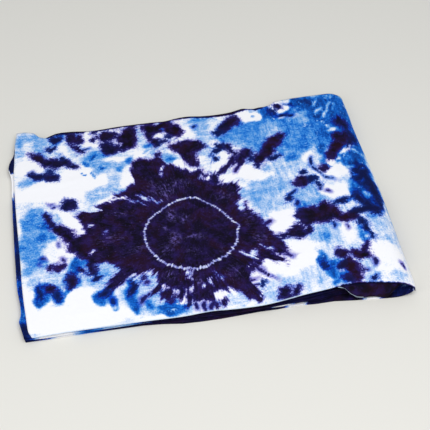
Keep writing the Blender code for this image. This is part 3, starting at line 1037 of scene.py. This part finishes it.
# The same for the laps from UPPER_PLACE in the stack up, but the top one
UPPER_PLACE = 2
UPPER_FRONT_DYES = (
    # x, dark, blue, blueness
    (-300, 6, 3.8, 1.0),
    (-284, 4, 3.8, 1.0),
    (-273, -14, WHITE, 0.8),
    (-226, -14, WHITE, 0.5),
    (-214, -10, 3.0, 1.0),
    (-196, -8, 3.2, 1.0),
    (-186, -14, 0.9, 1.0),
    (-150, -12, 1.1, 1.0),
    (-132, -10, 2.4, 1.0),
    (-120, -14, -0.4, 0.8),
    (-110, 4, 3.8, 0.6),
    (-60, 16, 4.0, 0.2),
    (60, 16, 4.0, 0.1),
    (110, 10, 4.0, 0.6),
    (170, 14, 4.0, 0.4),
    (200, 18, 4.0, 0.0),
    (300, 18, 4.0, 0.0),
)
LEFT_EDGE_DYES = (
    # y, dark, blue, blueness
    (-215, 1, 3.4, 1.0),
    (-205, -4, 2.8, 1.0),
    (-192, -4, 3.0, 1.0),
    (-180, -6, 2.6, 1.0),
    (-150, -5, 3.0, 1.0),
    (-128, -1, 3.4, 1.0),
    (-106, -5, 2.8, 1.0),
    (-84, 2, 3.4, 1.0),
    (-64, 6, 3.8, 1.0),
    (-40, 0, 3.0, 1.0),
    (-6, 4, 4.0, 0.9),
    (40, 1, 3.2, 1.0),
    (74, 0, 3.0, 1.0),
    (84, -12, WHITE, 0.5),
    (132, -12, WHITE, 0.5),
    (140, 8, 4.0, 0.9),
    (184, 8, 4.0, 0.9),
    (221, 4, 3.6, 0.8),
)
BACK_EDGE_DYES = (
    # x, dark, blue, blueness
    (-300, 3, 3.4, 0.9),
    (-230, 9, 4.0, 0.6),
    (210, 9, 4.0, 0.6),
    (240, 0, 3.2, 1.0),
    (300, -2, 3.0, 1.0),
)
# How far in from an edge its dyes reach
EDGE_DYE_REACH = 34.0
# How far the left edge's dyes shift from lap to lap, so that no patch ends in one straight line
STAGGER, STAGGER_LENGTH, STAGGER_STEP = 7.0, 11.0, 2.4

# How fast the dark field rises into the darker bands along the top lap's edges
LINE_STEEPNESS = 3.0
# The line along its back edge, by place along X
BACK_LINE = (
    # x, depth of the line
    (-300, -6), (-236, -6), (-226, 4), (-168, 3.6), (-161, -6), (-148, -6), (-142, 1.5),
    (-100, 2.2), (-40, 2.0), (10, 3.6), (60, 5.0), (108, 5.0), (114, 1.0), (124, 1.0), (130, 4.6),
    (142, 3.0), (150, -6), (300, -6),
)
# The line along its front edge
FRONT_LINE = (
    # x, depth of the line
    (-300, -6), (140, -6), (186, 0.8), (300, 0.8),
)

# Dark patches narrower than this are strokes, which fray less
STROKE_WIDTH, NO_STROKE = 3.6, -30.0

# Slips of white cloth in the lowest edges, which show at the front
SLIPS = (
    # x, half length, highest place in the stack that shows it
    (96, 7, 2),
    (118, 6, 3),
    (138, 5, 2),
    (232, 22, 1),
)
SLIP_DYES = {"dark": -20.0, "blue": WHITE, "blueness": 0.5, "strokes": NO_STROKE}
# How softly a slip ends along the edge, and from what depth to what depth it fades inwards
SLIP_SOFTNESS, SLIP_DEPTH, SLIP_FADED = 4.0, 8.0, 14.0

# The top lap's front rim has a painted highlight up to here
RIM_END, RIM_FADE = 178.0, 30.0
FAR_FROM_RIM = 50.0
# Where the second lap's hem has a painted highlight
HEM_HIGHLIGHT_LEFT, HEM_HIGHLIGHT_RIGHT = 178.0, 222.0

# How far the dyes wander off their chart, and over what lengths
WANDER, WANDER_LENGTH, LESSER_WANDER, LESSER_LENGTH = 2.2, 9.0, 1.3, 4.3
# Keeps a patch's middle from a division by zero
LEAST_STEEPNESS = 1e-6
# The blend between dark patches, and of blueness at a patch's edge
BLOT_BLEND, BLUENESS_BLEND = 3.0, 5.0
# How a lighter patch clears the dark, and where its blue begins and is full
CLEARING, LIGHT_STARTS, LIGHT_FULL = 1.4, -4.0, 2.0
# Along the sheet, where the chart starts to fade, and where it ends
CHART_FADES, CHART_ENDS = 292.0, 312.0
# Uncharted cloth: the dark's swing and how far it falls short, the blue's mean and swing
MOTTLE_SWING, MOTTLE_SHORTFALL, MOTTLE_BLUE, MOTTLE_BLUE_SWING = 16.0, 4.0, 1.4, 1.8
# The field's heights at which its dark is all purple-black, and all navy
MOTTLE_PURPLE, MOTTLE_NAVY = 0.9, 0.1


def depth_inside(row, x, y):
    """About how far a point lies inside a patch's oval edge, in millimetres, below 0 outside."""
    ahead, across = turned(row, x, y)
    away = np.hypot(ahead, across)
    steepness = np.hypot(ahead / row[2], across / row[3])
    return away * (1 - away) / np.maximum(steepness, LEAST_STEEPNESS)


def by_direction(table, degrees):
    """A closed table's radius in any direction."""
    stops, radii = column(table, 0), column(table, 1)
    return np.interp(degrees, stops, radii, period=360)


def from_ring(x, y):
    """A point's distance from the ring's middle, and its direction in degrees."""
    away = np.hypot(x - RING_X, y - RING_Y)
    return away, np.degrees(np.arctan2(y - RING_Y, x - RING_X)) % 360


def soft_max(a, b, blend):
    """The greater of a and b, rounded over where they meet."""
    mix = np.clip(0.5 + (a - b) / (2 * blend), 0, 1)
    return b + (a - b) * mix + blend * mix * (1 - mix)


def mottle(x, y):
    """An uneven field between about -1 and 1, for the cloth that no table charts."""
    bent_x = x + 26 * np.sin(y / 41 + 0.6) + 11 * np.sin(y / 13 + x / 29)
    bent_y = y + 24 * np.sin(x / 37 + 1.9) + 9 * np.sin(x / 17 - y / 23)
    waves = np.sin(bent_x / 33) * np.sin(bent_y / 29 + 0.7)
    return waves + 0.5 * np.sin(bent_x / 15 + 2.2) * np.sin(bent_y / 17)


def uncharted_dyes(x, y):
    """Dark dye from the uneven field, and blues from a turned and drawn-out copy of it."""
    waves = mottle(x, y)
    blue = MOTTLE_BLUE + MOTTLE_BLUE_SWING * mottle(y * 0.8 + 210, x * 0.7 - 90)
    return {
        "dark": MOTTLE_SWING * waves - MOTTLE_SHORTFALL,
        "blue": blue,
        "blueness": eased(waves, MOTTLE_PURPLE, MOTTLE_NAVY),
        "strokes": np.full_like(x, NO_STROKE),
    }


def wandered(x, y):
    """The place on the chart from which a point takes its dyes, so that no patch stays a plain oval."""
    bent_x = WANDER * np.sin(y / WANDER_LENGTH + 1.3 * np.sin(x / 23))
    bent_x += LESSER_WANDER * np.sin(y / LESSER_LENGTH + x / 7)
    bent_y = WANDER * np.sin(x / WANDER_LENGTH + 1.1 * np.sin(y / 19) + 2)
    bent_y += LESSER_WANDER * np.sin(x / LESSER_LENGTH - y / 8)
    return x + bent_x, y + bent_y


def charted_dyes(x, y):
    """The top lap's dyes, from the tables."""
    x, y = wandered(x, y)
    blue = np.full_like(x, PLAIN_GROUND)
    for row in WASHES:
        amount, softness = row[5:]
        share = eased(depth_inside(row, x, y), -softness, softness)
        blue += (amount - blue) * share
    away, degrees = from_ring(x, y)
    dark = by_direction(BURST, degrees) - away
    blueness = np.zeros_like(x)
    strokes = np.full_like(x, NO_STROKE)
    for row in DARKS:
        depth = depth_inside(row, x, y)
        over = eased(depth - np.maximum(dark, strokes), -BLUENESS_BLEND, BLUENESS_BLEND)
        blueness += (row[5] - blueness) * over
        if min(row[2:4]) < STROKE_WIDTH:
            strokes = np.maximum(strokes, depth)
        else:
            dark = soft_max(dark, depth, BLOT_BLEND)
    for row in LIGHTS:
        depth = depth_inside(row, x, y)
        blue += (row[5] - blue) * eased(depth, LIGHT_STARTS, LIGHT_FULL)
        dark = np.minimum(dark, -CLEARING * depth)
    return {"dark": dark, "blue": blue, "blueness": blueness, "strokes": strokes}


def edge_dyes(table, place):
    dyes = {name: np.interp(place, column(table, 0), column(table, index + 1))
            for index, name in enumerate(("dark", "blue", "blueness"))}
    return {**dyes, "strokes": NO_STROKE}


def mixed(first, second, share):
    return {name: first[name] + (second[name] - first[name]) * share for name in first}


def lower_dyes(lap, points, ahead, across):
    """The dyes of a lap under the top one, known only at its edges."""
    x, y = points[..., 0], points[..., 1]
    dyes = uncharted_dyes(ahead, across)
    front, back = lap_edges(lap, x)
    front_dyes = UPPER_FRONT_DYES if LAPS[lap][0] >= UPPER_PLACE else FRONT_EDGE_DYES
    stagger = STAGGER * np.sin(STAGGER_STEP * lap + y / STAGGER_LENGTH)
    edges = (
        (LEFT_EDGE_DYES, y + stagger, x - along(SIDE_STATIONS, 2, y)),
        (BACK_EDGE_DYES, x, back - y),
        (front_dyes, x, across - PACK_FRONT),
    )
    for table, place, distance in edges:
        near = 1 - eased(distance, EDGE_DYE_REACH / 2, EDGE_DYE_REACH)
        dyes = mixed(dyes, edge_dyes(table, place), near)
    for slip_x, half_length, highest in SLIPS:
        if LAPS[lap][1] <= highest:
            near = 1 - eased(np.abs(x - slip_x), half_length - SLIP_SOFTNESS, half_length)
            near = near * (1 - eased(across - PACK_FRONT, SLIP_DEPTH, SLIP_FADED))
            dyes = mixed(dyes, SLIP_DYES, near)
    return dyes


def from_rim(points, laps, across):
    """Distance from an edge with a painted highlight: the top lap's front edge, and a part of the
    second lap's.
    """
    x, y = points[..., 0], points[..., 1]
    front = lap_edges(TOP_LAP, x)[0]
    distance = np.full_like(x, FAR_FROM_RIM)
    top = laps == TOP_LAP
    distance[top] = (y - front + RIM_FADE * eased(x, RIM_END - RIM_FADE, RIM_END))[top]
    hem = (laps == SECOND_LAP)[:, None] & (x > HEM_HIGHLIGHT_LEFT) & (x < HEM_HIGHLIGHT_RIGHT)
    distance[hem] = (across - PACK_FRONT)[hem]
    return distance


def sheet_dyes(points, laps, ahead, across):
    """The fields that the material reads, at each point of the sheet."""
    past_chart = eased(ahead, CHART_FADES, CHART_ENDS)
    fields = mixed(charted_dyes(ahead, across), uncharted_dyes(ahead, across), past_chart)
    for lap in range(BOTTOM_LAP, len(LAPS)):
        lines = laps == lap
        lower = lower_dyes(lap, points[lines], ahead[lines], across[lines])
        for name, values in lower.items():
            fields[name][lines] = values
    away, degrees = from_ring(ahead, across)
    fields["ring"] = away - by_direction(RING, degrees)
    fields["haze"] = swelling(HAZES, ahead, across)
    # Where the painted highlight lies along the cut edges
    fields["rim"] = from_rim(points, laps, across)
    x, y = points[..., 0], points[..., 1]
    front, back = lap_edges(TOP_LAP, x)
    top = laps == TOP_LAP
    # Darker towards the top lap's back edge, and towards its front edge on the right
    for table, from_edge in ((BACK_LINE, back - y), (FRONT_LINE, y - front)):
        line = np.interp(x, column(table, 0), column(table, 1)) - from_edge
        fields["dark"][top] = np.maximum(fields["dark"], LINE_STEEPNESS * line)[top]
    return fields


# Cloth

def sheet_mesh(points, ahead, across, fields):
    """A flat grid bent to the points, with its flat places as UVs and the dyes as attributes."""
    columns, rows = points.shape[0] - 1, points.shape[1] - 1
    grid = bmesh.new()
    bmesh.ops.create_grid(grid, x_segments=columns, y_segments=rows, size=1)
    mesh = bpy.data.meshes.new("dyed_cloth")
    grid.to_mesh(mesh)
    grid.free()
    flat = np.empty(len(mesh.vertices) * 3)
    mesh.vertices.foreach_get("co", flat)
    flat = flat.reshape(-1, 3)
    line = np.rint((flat[:, 0] + 1) / 2 * columns).astype(int)
    row = np.rint((flat[:, 1] + 1) / 2 * rows).astype(int)
    mesh.vertices.foreach_set("co", (points[line, row] * MM).ravel())
    for name, values in fields.items():
        attribute = mesh.attributes.new(name, "FLOAT", "POINT")
        attribute.data.foreach_set("value", values[line, row].astype(np.float32))
    corners = np.empty(len(mesh.loops), int)
    mesh.loops.foreach_get("vertex_index", corners)
    places = np.stack([ahead, across], axis=-1)[line, row] * MM
    mesh.uv_layers.new(name="flat_metres").data.foreach_set("uv", places[corners].ravel())
    mesh.shade_smooth()
    mesh.update()
    return mesh


def thickened(cloth):
    modifier = cloth.modifiers.new("thickness", "SOLIDIFY")
    modifier.thickness = CLOTH_THICKNESS * MM
    modifier.offset = 0
    modifier.use_even_offset = True
    modifier.use_quality_normals = True
    bpy.ops.object.select_all(action="DESELECT")
    cloth.select_set(True)
    bpy.context.view_layer.objects.active = cloth
    bpy.ops.object.modifier_apply(modifier=modifier.name)


def folded_cloth(finish):
    points, laps = folded_lines()
    ahead, across = flat_places(points, laps)
    mesh = sheet_mesh(points, ahead, across, sheet_dyes(points, laps, ahead, across))
    mesh.materials.append(finish)
    cloth = bpy.data.objects.new("dyed_cloth", mesh)
    bpy.context.scene.collection.objects.link(cloth)
    thickened(cloth)
    return cloth


def seat_in_frame(cloth):
    """Moves the mesh to where the solid is, and gives the way that it moved."""
    corners = np.array([vertex.co for vertex in cloth.data.vertices])
    low, high = corners.min(axis=0), corners.max(axis=0)
    solid_low, solid_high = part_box("cloth")
    move = (solid_low + solid_high) / 2 - Vector((low + high) / 2)
    move.z = solid_low.z - low[2]
    cloth.data.transform(Matrix.Translation(move))
    return move


# Materials

# Blues by how much dye the cotton took up, from none to the most
BLUES = (
    # blue, shade
    (0.0, "FAFAFE"),
    (0.6, "DAE5F9"),
    (1.2, "A9C7F1"),
    (1.8, "74A9E6"),
    (2.4, "3688DD"),
    (3.0, "0D63CC"),
    (3.7, "08479F"),
    (4.6, "0A2466"),
)
MOST_BLUE = 5.0
BLACK_DYE, MAROON_DYE, PURPLE_DYE, NAVY_DYE = "0B0614", "1E0A1C", "281A58", "08164C"
EDGE_VIOLET, EDGE_BLUE = "2A1F74", "0A2E80"
FRINGE_VIOLET, FRINGE_BLUE = "6A60CC", "3C82E4"
RING_BEAD, RING_THREAD = "D6DCFC", "8488D2"
# RIM_HIGHLIGHT is a painted highlight along the cut edges
HAZE_LILAC, RIM_HIGHLIGHT, SLUB_WHITE, FLOOR_PALE = "6E60B4", "C8DCF4", "FFFFFF", "E4E2DB"

# Unevenness over the flat cloth, or over another place that is given with the name
NOISES = {
    # name: cells to the metre or to that place's own unit, detail, roughness, strength
    "feather": (1.0, 3.0, 0.6, 24.0),
    "thin feather": (1.0, 3.0, 0.6, 14.0),
    "ragged": (60.0, 3.0, 0.6, 15.0),
    "finely ragged": (190.0, 4.0, 0.7, 15.0),
    "crumbs": (430.0, 3.0, 0.7, 13.0),
    "drawn back": (1.0, 3.0, 0.6, 2.6),
    "drawn along": (1.0, 3.0, 0.6, 1.8),
    "broad": (13.0, 3.0, 0.6, 2.2),
    "cloudy": (30.0, 4.0, 0.6, 1.8),
    "blotchy": (95.0, 4.0, 0.65, 2.8),
    "coarse grain": (230.0, 3.0, 0.7, 1.8),
    "grain": (420.0, 3.0, 0.7, 3.2),
    "flecks": (120.0, 3.0, 0.6, 1.0),
    "streaks": (1.0, 4.0, 0.7, 1.0),
    "dark clouds": (62.0, 5.0, 0.72, 1.0),
    "maroon": (26.0, 3.0, 0.5, 1.0),
    "lilac streaks": (1.4, 4.0, 0.8, 1.0),
    "lilac grain": (170.0, 4.0, 0.75, 1.0),
    "lilac specks": (280.0, 4.0, 0.75, 1.0),
    "ring's bends": (1.0, 2.0, 0.5, 1.0),
    "ring's beads": (1.0, 2.0, 0.5, 1.0),
    "ring's grain": (300.0, 3.0, 0.5, 4.0),
    "slubs along": (1.0, 2.0, 0.5, 1.0),
    "slubs across": (1.0, 2.0, 0.5, 1.0),
    "lumps": (90.0, 4.0, 0.5, 0.0011),
}
# Where some of them are drawn out: cells to the metre along X and Y, and the noise's level
DRAWN_OUT = {
    "drawn back": (170, 24, 3.0),
    "drawn along": (26, 190, 5.0),
    "slubs along": (90, 1500, 0.0),
    "slubs across": (1500, 90, 7.0),
}
# Rays from the ring's middle: cells to a radian about it, and to a metre outwards
RAYS, THIN_RAYS = (17, 30), (40, 55)
# The ring's bends and beads: cells to a radian, and the noise's level
BENDS, BEADS = (15, 0.0), (26, 4.0)

# Smooth steps: where each starts, and where it is done
STEPS = {
    "past the rays": (0.15, 0.22),
    "to the right": (0.05, 0.15),
    "flecks": (0.09, 0.17),
    "strong blue": (2.0, 2.8),
    "streaks": (-0.06, 0.18),
    "dark clouds": (-0.06, 0.2),
    "maroon": (-0.05, 0.12),
    "inside a blot": (0.5, 7.0),
    "lilac streaks": (-0.14, 0.16),
    "lilac grain": (-0.12, 0.1),
    "lilac specks": (0.1, 0.2),
    "haze": (0.05, 0.6),
    "fringe": (-6.0, 0.0),
    "blot's edge": (-0.9, 0.9),
    "to the front": (0.3, 0.95),
    "beads": (-0.02, 0.14),
    "beside the ring": (1.0, 6.0),
    "ring's edge": (-0.9, 0.9),
    # The rim's painted highlight: full below the start, gone past the end
    "rim": (0.6, 2.2),
    "slubs": (-0.3, 0.3),
}
# How much of each shade or unevenness is mixed in
BLUE_TAKEN_UP, BLUE_LOST_IN_FLECKS = 1.16, 1.7
STREAKS_SHARE, CLOUDS_SHARE, NAVY_SHARE, EDGE_SHARE, FRINGE_SHARE = 0.35, 0.7, 0.75, 0.6, 0.9
HAZE_SHARE, SPECKS_SHARE, RIM_HIGHLIGHT_SHARE, SLUBS_SHARE = 0.9, 0.4, 0.7, 0.16
RING_SHARE, BESIDE_RING_SHARE = 0.95, 0.35
LESS_RAGGED_IN_RAYS, RAGGED_STROKES, CRUMBLED_STROKES = 0.35, 0.25, 0.4
# In millimetres: the ring's bends and half width, and what each gains towards the front
RING_BEND, FRONT_BEND = 5, 7
RING_WIDTH, FRONT_WIDTH, BEAD_WIDTH, FRONT_BEAD_WIDTH = 1.3, 0.6, 4.0, 2.5

# In metres: the weave's repeat of two threads, and the heights of the weave and the slubs
WEAVE_REPEAT, WEAVE_HEIGHT, SLUB_HEIGHT = 0.00062, 0.00006, 0.00022
BUMP_STRENGTH = 0.5
COTTON_ROUGHNESS, SLUB_ROUGHNESS, COTTON_SPECULAR, FLOOR_ROUGHNESS = 0.88, 0.2, 0.1, 0.9


def shade(code):
    """A colour written as six hexadecimal digits, in linear light."""
    parts = [int(code[place:place + 2], 16) / 255 for place in (0, 2, 4)]
    linear = [part / 12.92 if part <= 0.04045 else ((part + 0.055) / 1.055) ** 2.4 for part in parts]
    return (*linear, 1.0)


def operator(operation):
    """A Math node's operation as an operator of Wire, and its reflected form."""

    def forward(wire, other):
        return wire.finish.maths(operation, wire, other)

    def reflected(wire, other):
        return wire.finish.maths(operation, other, wire)

    return forward, reflected


class Wire:
    """One output of a material's nodes, which takes part in sums like a number."""

    def __init__(self, finish, socket):
        self.finish, self.socket = finish, socket

    __add__, __radd__ = operator("ADD")
    __sub__, __rsub__ = operator("SUBTRACT")
    __mul__, __rmul__ = operator("MULTIPLY")
    __truediv__, __rtruediv__ = operator("DIVIDE")

    def __abs__(self):
        return self.finish.maths("ABSOLUTE", self)


class Finish:
    """A material, and the nodes that it is made of."""

    def __init__(self, name):
        self.material = bpy.data.materials.new(name)
        self.material.use_nodes = True
        self.tree = self.material.node_tree
        self.shader = self.tree.nodes["Principled BSDF"]

    def put(self, socket, value):
        if isinstance(value, Wire):
            self.tree.links.new(value.socket, socket)
        else:
            socket.default_value = value

    def node(self, kind, settings, inputs, output=0):
        """A node with its settings, and the values or wires of its sockets."""
        made = self.tree.nodes.new(kind)
        for name, value in settings.items():
            if name == "stops":
                self.set_stops(made.color_ramp, value)
            else:
                setattr(made, name, value)
        for name, value in inputs.items():
            self.put(made.inputs[name], value)
        return Wire(self, made.outputs[output])

    def set_stops(self, ramp, stops):
        while len(ramp.elements) < len(stops):
            ramp.elements.new(1.0)
        for element, (place, colour) in zip(ramp.elements, stops):
            element.position = place
            element.color = colour

    def maths(self, operation, *values):
        return self.node("ShaderNodeMath", {"operation": operation}, dict(enumerate(values)))

    def field(self, name):
        """One of the sheet's own fields, as sheet_dyes worked it out."""
        return self.node("ShaderNodeAttribute", {"attribute_name": name}, {}, "Fac")

    def step(self, name, value):
        """0 where the value is at the named step's start, 1 where it is done, smooth between."""
        start, done = STEPS[name]
        inputs = {"Value": value, "From Min": start, "From Max": done}
        return self.node("ShaderNodeMapRange", {"interpolation_type": "SMOOTHSTEP"}, inputs)

    def mix(self, share, first, second, blend="MIX"):
        settings = {"data_type": "RGBA", "blend_type": blend}
        return self.node("ShaderNodeMix", settings, {0: share, 6: first, 7: second}, 2)

    def vector(self, x, y, z):
        return self.node("ShaderNodeCombineXYZ", {}, {"X": x, "Y": y, "Z": z})


class DyedCotton(Finish):
    """Plain-woven cotton with the charted dyes, frayed and streaked as they spread in the cloth."""

    def __init__(self):
        super().__init__("dyed_cotton")
        self.place = self.node("ShaderNodeUVMap", {"uv_map": "flat_metres"}, {})
        self.x = self.node("ShaderNodeSeparateXYZ", {}, {"Vector": self.place}, "X")
        self.y = self.node("ShaderNodeSeparateXYZ", {}, {"Vector": self.place}, "Y")
        from_x, from_y = self.x - RING_X * MM, self.y - RING_Y * MM
        away = self.maths("SQRT", from_x * from_x + from_y * from_y)
        # The direction from the ring's middle
        self.ray_x, self.ray_y = from_x / (away + MM), from_y / (away + MM)
        self.rays = self.about_ring(RAYS[0], away * RAYS[1])
        self.thin_rays = self.about_ring(THIN_RAYS[0], away * THIN_RAYS[1])
        self.near_burst = 1 - self.step("past the rays", away)

    def about_ring(self, cells, level):
        """A place for noise that changes with the direction from the ring's middle."""
        return self.vector(self.ray_x * cells, self.ray_y * cells, level)

    def noise(self, name, place=None):
        """Uneven values about 0."""
        cells, detail, roughness, strength = NOISES[name]
        place = place or self.place
        inputs = {"Vector": place, "Scale": cells, "Detail": detail, "Roughness": roughness}
        uneven = self.node("ShaderNodeTexNoise", {"noise_dimensions": "3D"}, inputs)
        return (uneven - 0.5) * strength

    def drawn_out(self, name):
        """Uneven values about 0, drawn out along one set of threads."""
        cells_x, cells_y, level = DRAWN_OUT[name]
        return self.noise(name, self.vector(self.x * cells_x, self.y * cells_y, level))

    def frayed_dark(self):
        """How far inside the dark dye a point lies, in millimetres, frayed along the rays."""
        feather = self.noise("feather", self.rays) + self.noise("thin feather", self.thin_rays)
        ragged = self.noise("ragged") + self.noise("finely ragged")
        crumbs = self.noise("crumbs")
        near = self.near_burst
        fray = feather * near + ragged * (1 - LESS_RAGGED_IN_RAYS * near) + crumbs + (1 - near)
        strokes = self.field("strokes") + ragged * RAGGED_STROKES + crumbs * CRUMBLED_STROKES
        return self.maths("MAXIMUM", self.field("dark") + fray, strokes)

    def blue_cotton(self):
        """The cotton and its blues, mottled, and drawn out along the threads."""
        blue = self.field("blue")
        to_right = self.step("to the right", self.x)
        cloudy = self.noise("cloudy") + self.noise("blotchy")
        grain = self.noise("grain") + self.noise("coarse grain")
        amount = blue * BLUE_TAKEN_UP + cloudy + grain + self.drawn_out("drawn back") * to_right
        amount = amount + self.drawn_out("drawn along") * (1 - to_right) + self.noise("broad")
        flecks = self.step("flecks", self.noise("flecks"))
        amount = amount - flecks * self.step("strong blue", blue) * BLUE_LOST_IN_FLECKS
        stops = [(value / MOST_BLUE, shade(code)) for value, code in BLUES]
        return self.node("ShaderNodeValToRGB", {"stops": stops}, {0: amount / MOST_BLUE}, "Color")

    def dark_shade(self, dark, blueness):
        """Near black with maroon in the blots' middles, purple streaks, and violet at the edges."""
        streaks = self.step("streaks", self.noise("streaks", self.thin_rays))
        clouds = self.step("dark clouds", self.noise("dark clouds"))
        maroon = self.step("maroon", self.noise("maroon"))
        deep = self.mix(maroon, shade(BLACK_DYE), shade(MAROON_DYE))
        purples = streaks * self.near_burst * STREAKS_SHARE + clouds * CLOUDS_SHARE
        purple = self.mix(purples, deep, shade(PURPLE_DYE))
        navy = self.mix(clouds, shade(BLACK_DYE), shade(NAVY_DYE))
        navy = self.mix(NAVY_SHARE, navy, shade(NAVY_DYE))
        edge = self.mix(blueness, shade(EDGE_VIOLET), shade(EDGE_BLUE))
        near_edge = 1 - self.step("inside a blot", dark)
        return self.mix(near_edge * EDGE_SHARE, self.mix(blueness, purple, navy), edge)

    def with_lilac(self, colour):
        """Faint lilac, in the charted haze and in specks over the burst."""
        streaks = self.step("lilac streaks", self.noise("lilac streaks", self.thin_rays))
        haze = self.field("haze") * streaks * self.step("lilac grain", self.noise("lilac grain"))
        colour = self.mix(self.step("haze", haze) * HAZE_SHARE, colour, shade(HAZE_LILAC))
        specks = self.step("lilac specks", self.noise("lilac specks")) * self.near_burst
        return self.mix(specks * SPECKS_SHARE, colour, shade(HAZE_LILAC))

    def dyes(self):
        """The blues, stained where the dark dye bled, and the dark dye over them."""
        dark, blueness = self.frayed_dark(), self.field("blueness")
        fringe = self.step("fringe", dark) * FRINGE_SHARE
        fringe_shade = self.mix(blueness, shade(FRINGE_VIOLET), shade(FRINGE_BLUE))
        stained = self.mix(fringe, self.blue_cotton(), fringe_shade, "MULTIPLY")
        darkest = self.with_lilac(self.dark_shade(dark, blueness))
        return self.mix(self.step("blot's edge", dark), stained, darkest)

    def with_ring(self, colour):
        """The pale ring, beaded where the thread bit, most of all towards the front."""
        to_front = self.step("to the front", 0 - self.ray_y)
        bends = self.noise("ring's bends", self.about_ring(*BENDS))
        beads = self.noise("ring's beads", self.about_ring(*BEADS))
        ring = self.field("ring") + bends * (RING_BEND + FRONT_BEND * to_front)
        ring = abs(ring + self.noise("ring's grain"))
        bead_width = BEAD_WIDTH + FRONT_BEAD_WIDTH * to_front
        width = RING_WIDTH + FRONT_WIDTH * to_front + beads * bead_width
        pale = self.mix(self.step("beads", beads), shade(RING_THREAD), shade(RING_BEAD))
        beside = (1 - self.step("beside the ring", ring)) * BESIDE_RING_SHARE
        colour = self.mix(beside, colour, shade(EDGE_VIOLET))
        return self.mix((1 - self.step("ring's edge", ring - width)) * RING_SHARE, colour, pale)

    # A painted highlight along the top lap's front edge and part of the second lap's hem
    def with_rim_highlight(self, colour):
        rim = 1 - self.step("rim", self.field("rim"))
        return self.mix(rim * RIM_HIGHLIGHT_SHARE, colour, shade(RIM_HIGHLIGHT))

    def weave(self):
        """Two crossing waves, one for each set of threads."""
        turns = 2 * math.pi / WEAVE_REPEAT
        return self.maths("SINE", self.x * turns) * self.maths("SINE", self.y * turns)


def dyed_cotton():
    finish = DyedCotton()
    slubs = finish.drawn_out("slubs along") + finish.drawn_out("slubs across")
    colour = finish.with_rim_highlight(finish.with_ring(finish.dyes()))
    pale_slubs = finish.step("slubs", slubs) * SLUBS_SHARE
    colour = finish.mix(pale_slubs, colour, shade(SLUB_WHITE), "SOFT_LIGHT")
    height = finish.weave() * WEAVE_HEIGHT + slubs * SLUB_HEIGHT + finish.noise("lumps")
    bump = {"Strength": BUMP_STRENGTH, "Distance": 1.0, "Height": height}
    sockets = finish.shader.inputs
    finish.put(sockets["Base Color"], colour)
    finish.put(sockets["Roughness"], COTTON_ROUGHNESS + slubs * SLUB_ROUGHNESS)
    finish.put(sockets["Normal"], finish.node("ShaderNodeBump", {}, bump))
    sockets["Specular IOR Level"].default_value = COTTON_SPECULAR
    return finish.material


def plain_floor():
    finish = Finish("plain_floor")
    finish.shader.inputs["Base Color"].default_value = shade(FLOOR_PALE)
    finish.shader.inputs["Roughness"].default_value = FLOOR_ROUGHNESS
    return finish.material


# Room

FLOOR_SIZE, FLOOR_GAP = 12.0, 0.0002
SKY, SKY_STRENGTH = (0.93, 0.96, 1.0, 1.0), 0.42
LAMPS = (
    # name, place, size, power
    ("overhead", (0.22, -1.05, 2.2), 2.0, 42.0),
    ("side", (-1.9, -1.0, 1.5), 1.4, 9.0),
)
# The camera's place and turn over the cloth before it was seated in the frame
CAMERA_PLACE = (-0.1998, -1.309, 1.4562)
CAMERA_TURN = (0.7381, -0.0067, -0.1622)
CAMERA_LENS = 102.14
SENSOR_WIDTH = 36.0


def lay_floor():
    """A wide plain floor, a hair under the cloth so that the two never share a plane."""
    bpy.ops.object.select_all(action="DESELECT")
    bpy.ops.mesh.primitive_plane_add(size=FLOOR_SIZE, location=(0, 0, -FLOOR_GAP))
    floor = bpy.context.object
    floor.name = "floor"
    floor.data.materials.append(plain_floor())


def light_room():
    """A wide soft light overhead, a second from the left, and an even pale sky."""
    world = bpy.data.worlds.new("pale_sky")
    world.use_nodes = True
    sky = world.node_tree.nodes["Background"]
    sky.inputs["Color"].default_value = SKY
    sky.inputs["Strength"].default_value = SKY_STRENGTH
    bpy.context.scene.world = world
    for name, place, size, power in LAMPS:
        lamp = bpy.data.lights.new(name, "AREA")
        lamp.shape = "SQUARE"
        lamp.size = size
        lamp.energy = power
        holder = bpy.data.objects.new(name, lamp)
        holder.location = place
        holder.rotation_euler = (-Vector(place)).to_track_quat("-Z", "Y").to_euler()
        bpy.context.scene.collection.objects.link(holder)


def set_camera(move):
    """The photo's view, moved as the cloth was when it was seated."""
    lens = bpy.data.cameras.new("view")
    lens.sensor_width = SENSOR_WIDTH
    lens.lens = CAMERA_LENS
    camera = bpy.data.objects.new("view", lens)
    camera.location = Vector(CAMERA_PLACE) + move
    camera.rotation_euler = Euler(CAMERA_TURN)
    bpy.context.scene.collection.objects.link(camera)
    bpy.context.scene.camera = camera


cloth = folded_cloth(dyed_cotton())
move = seat_in_frame(cloth)
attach(cloth, "root")
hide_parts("cloth")
lay_floor()
light_room()
set_camera(move)
bpy.context.scene.view_settings.view_transform = "Standard"
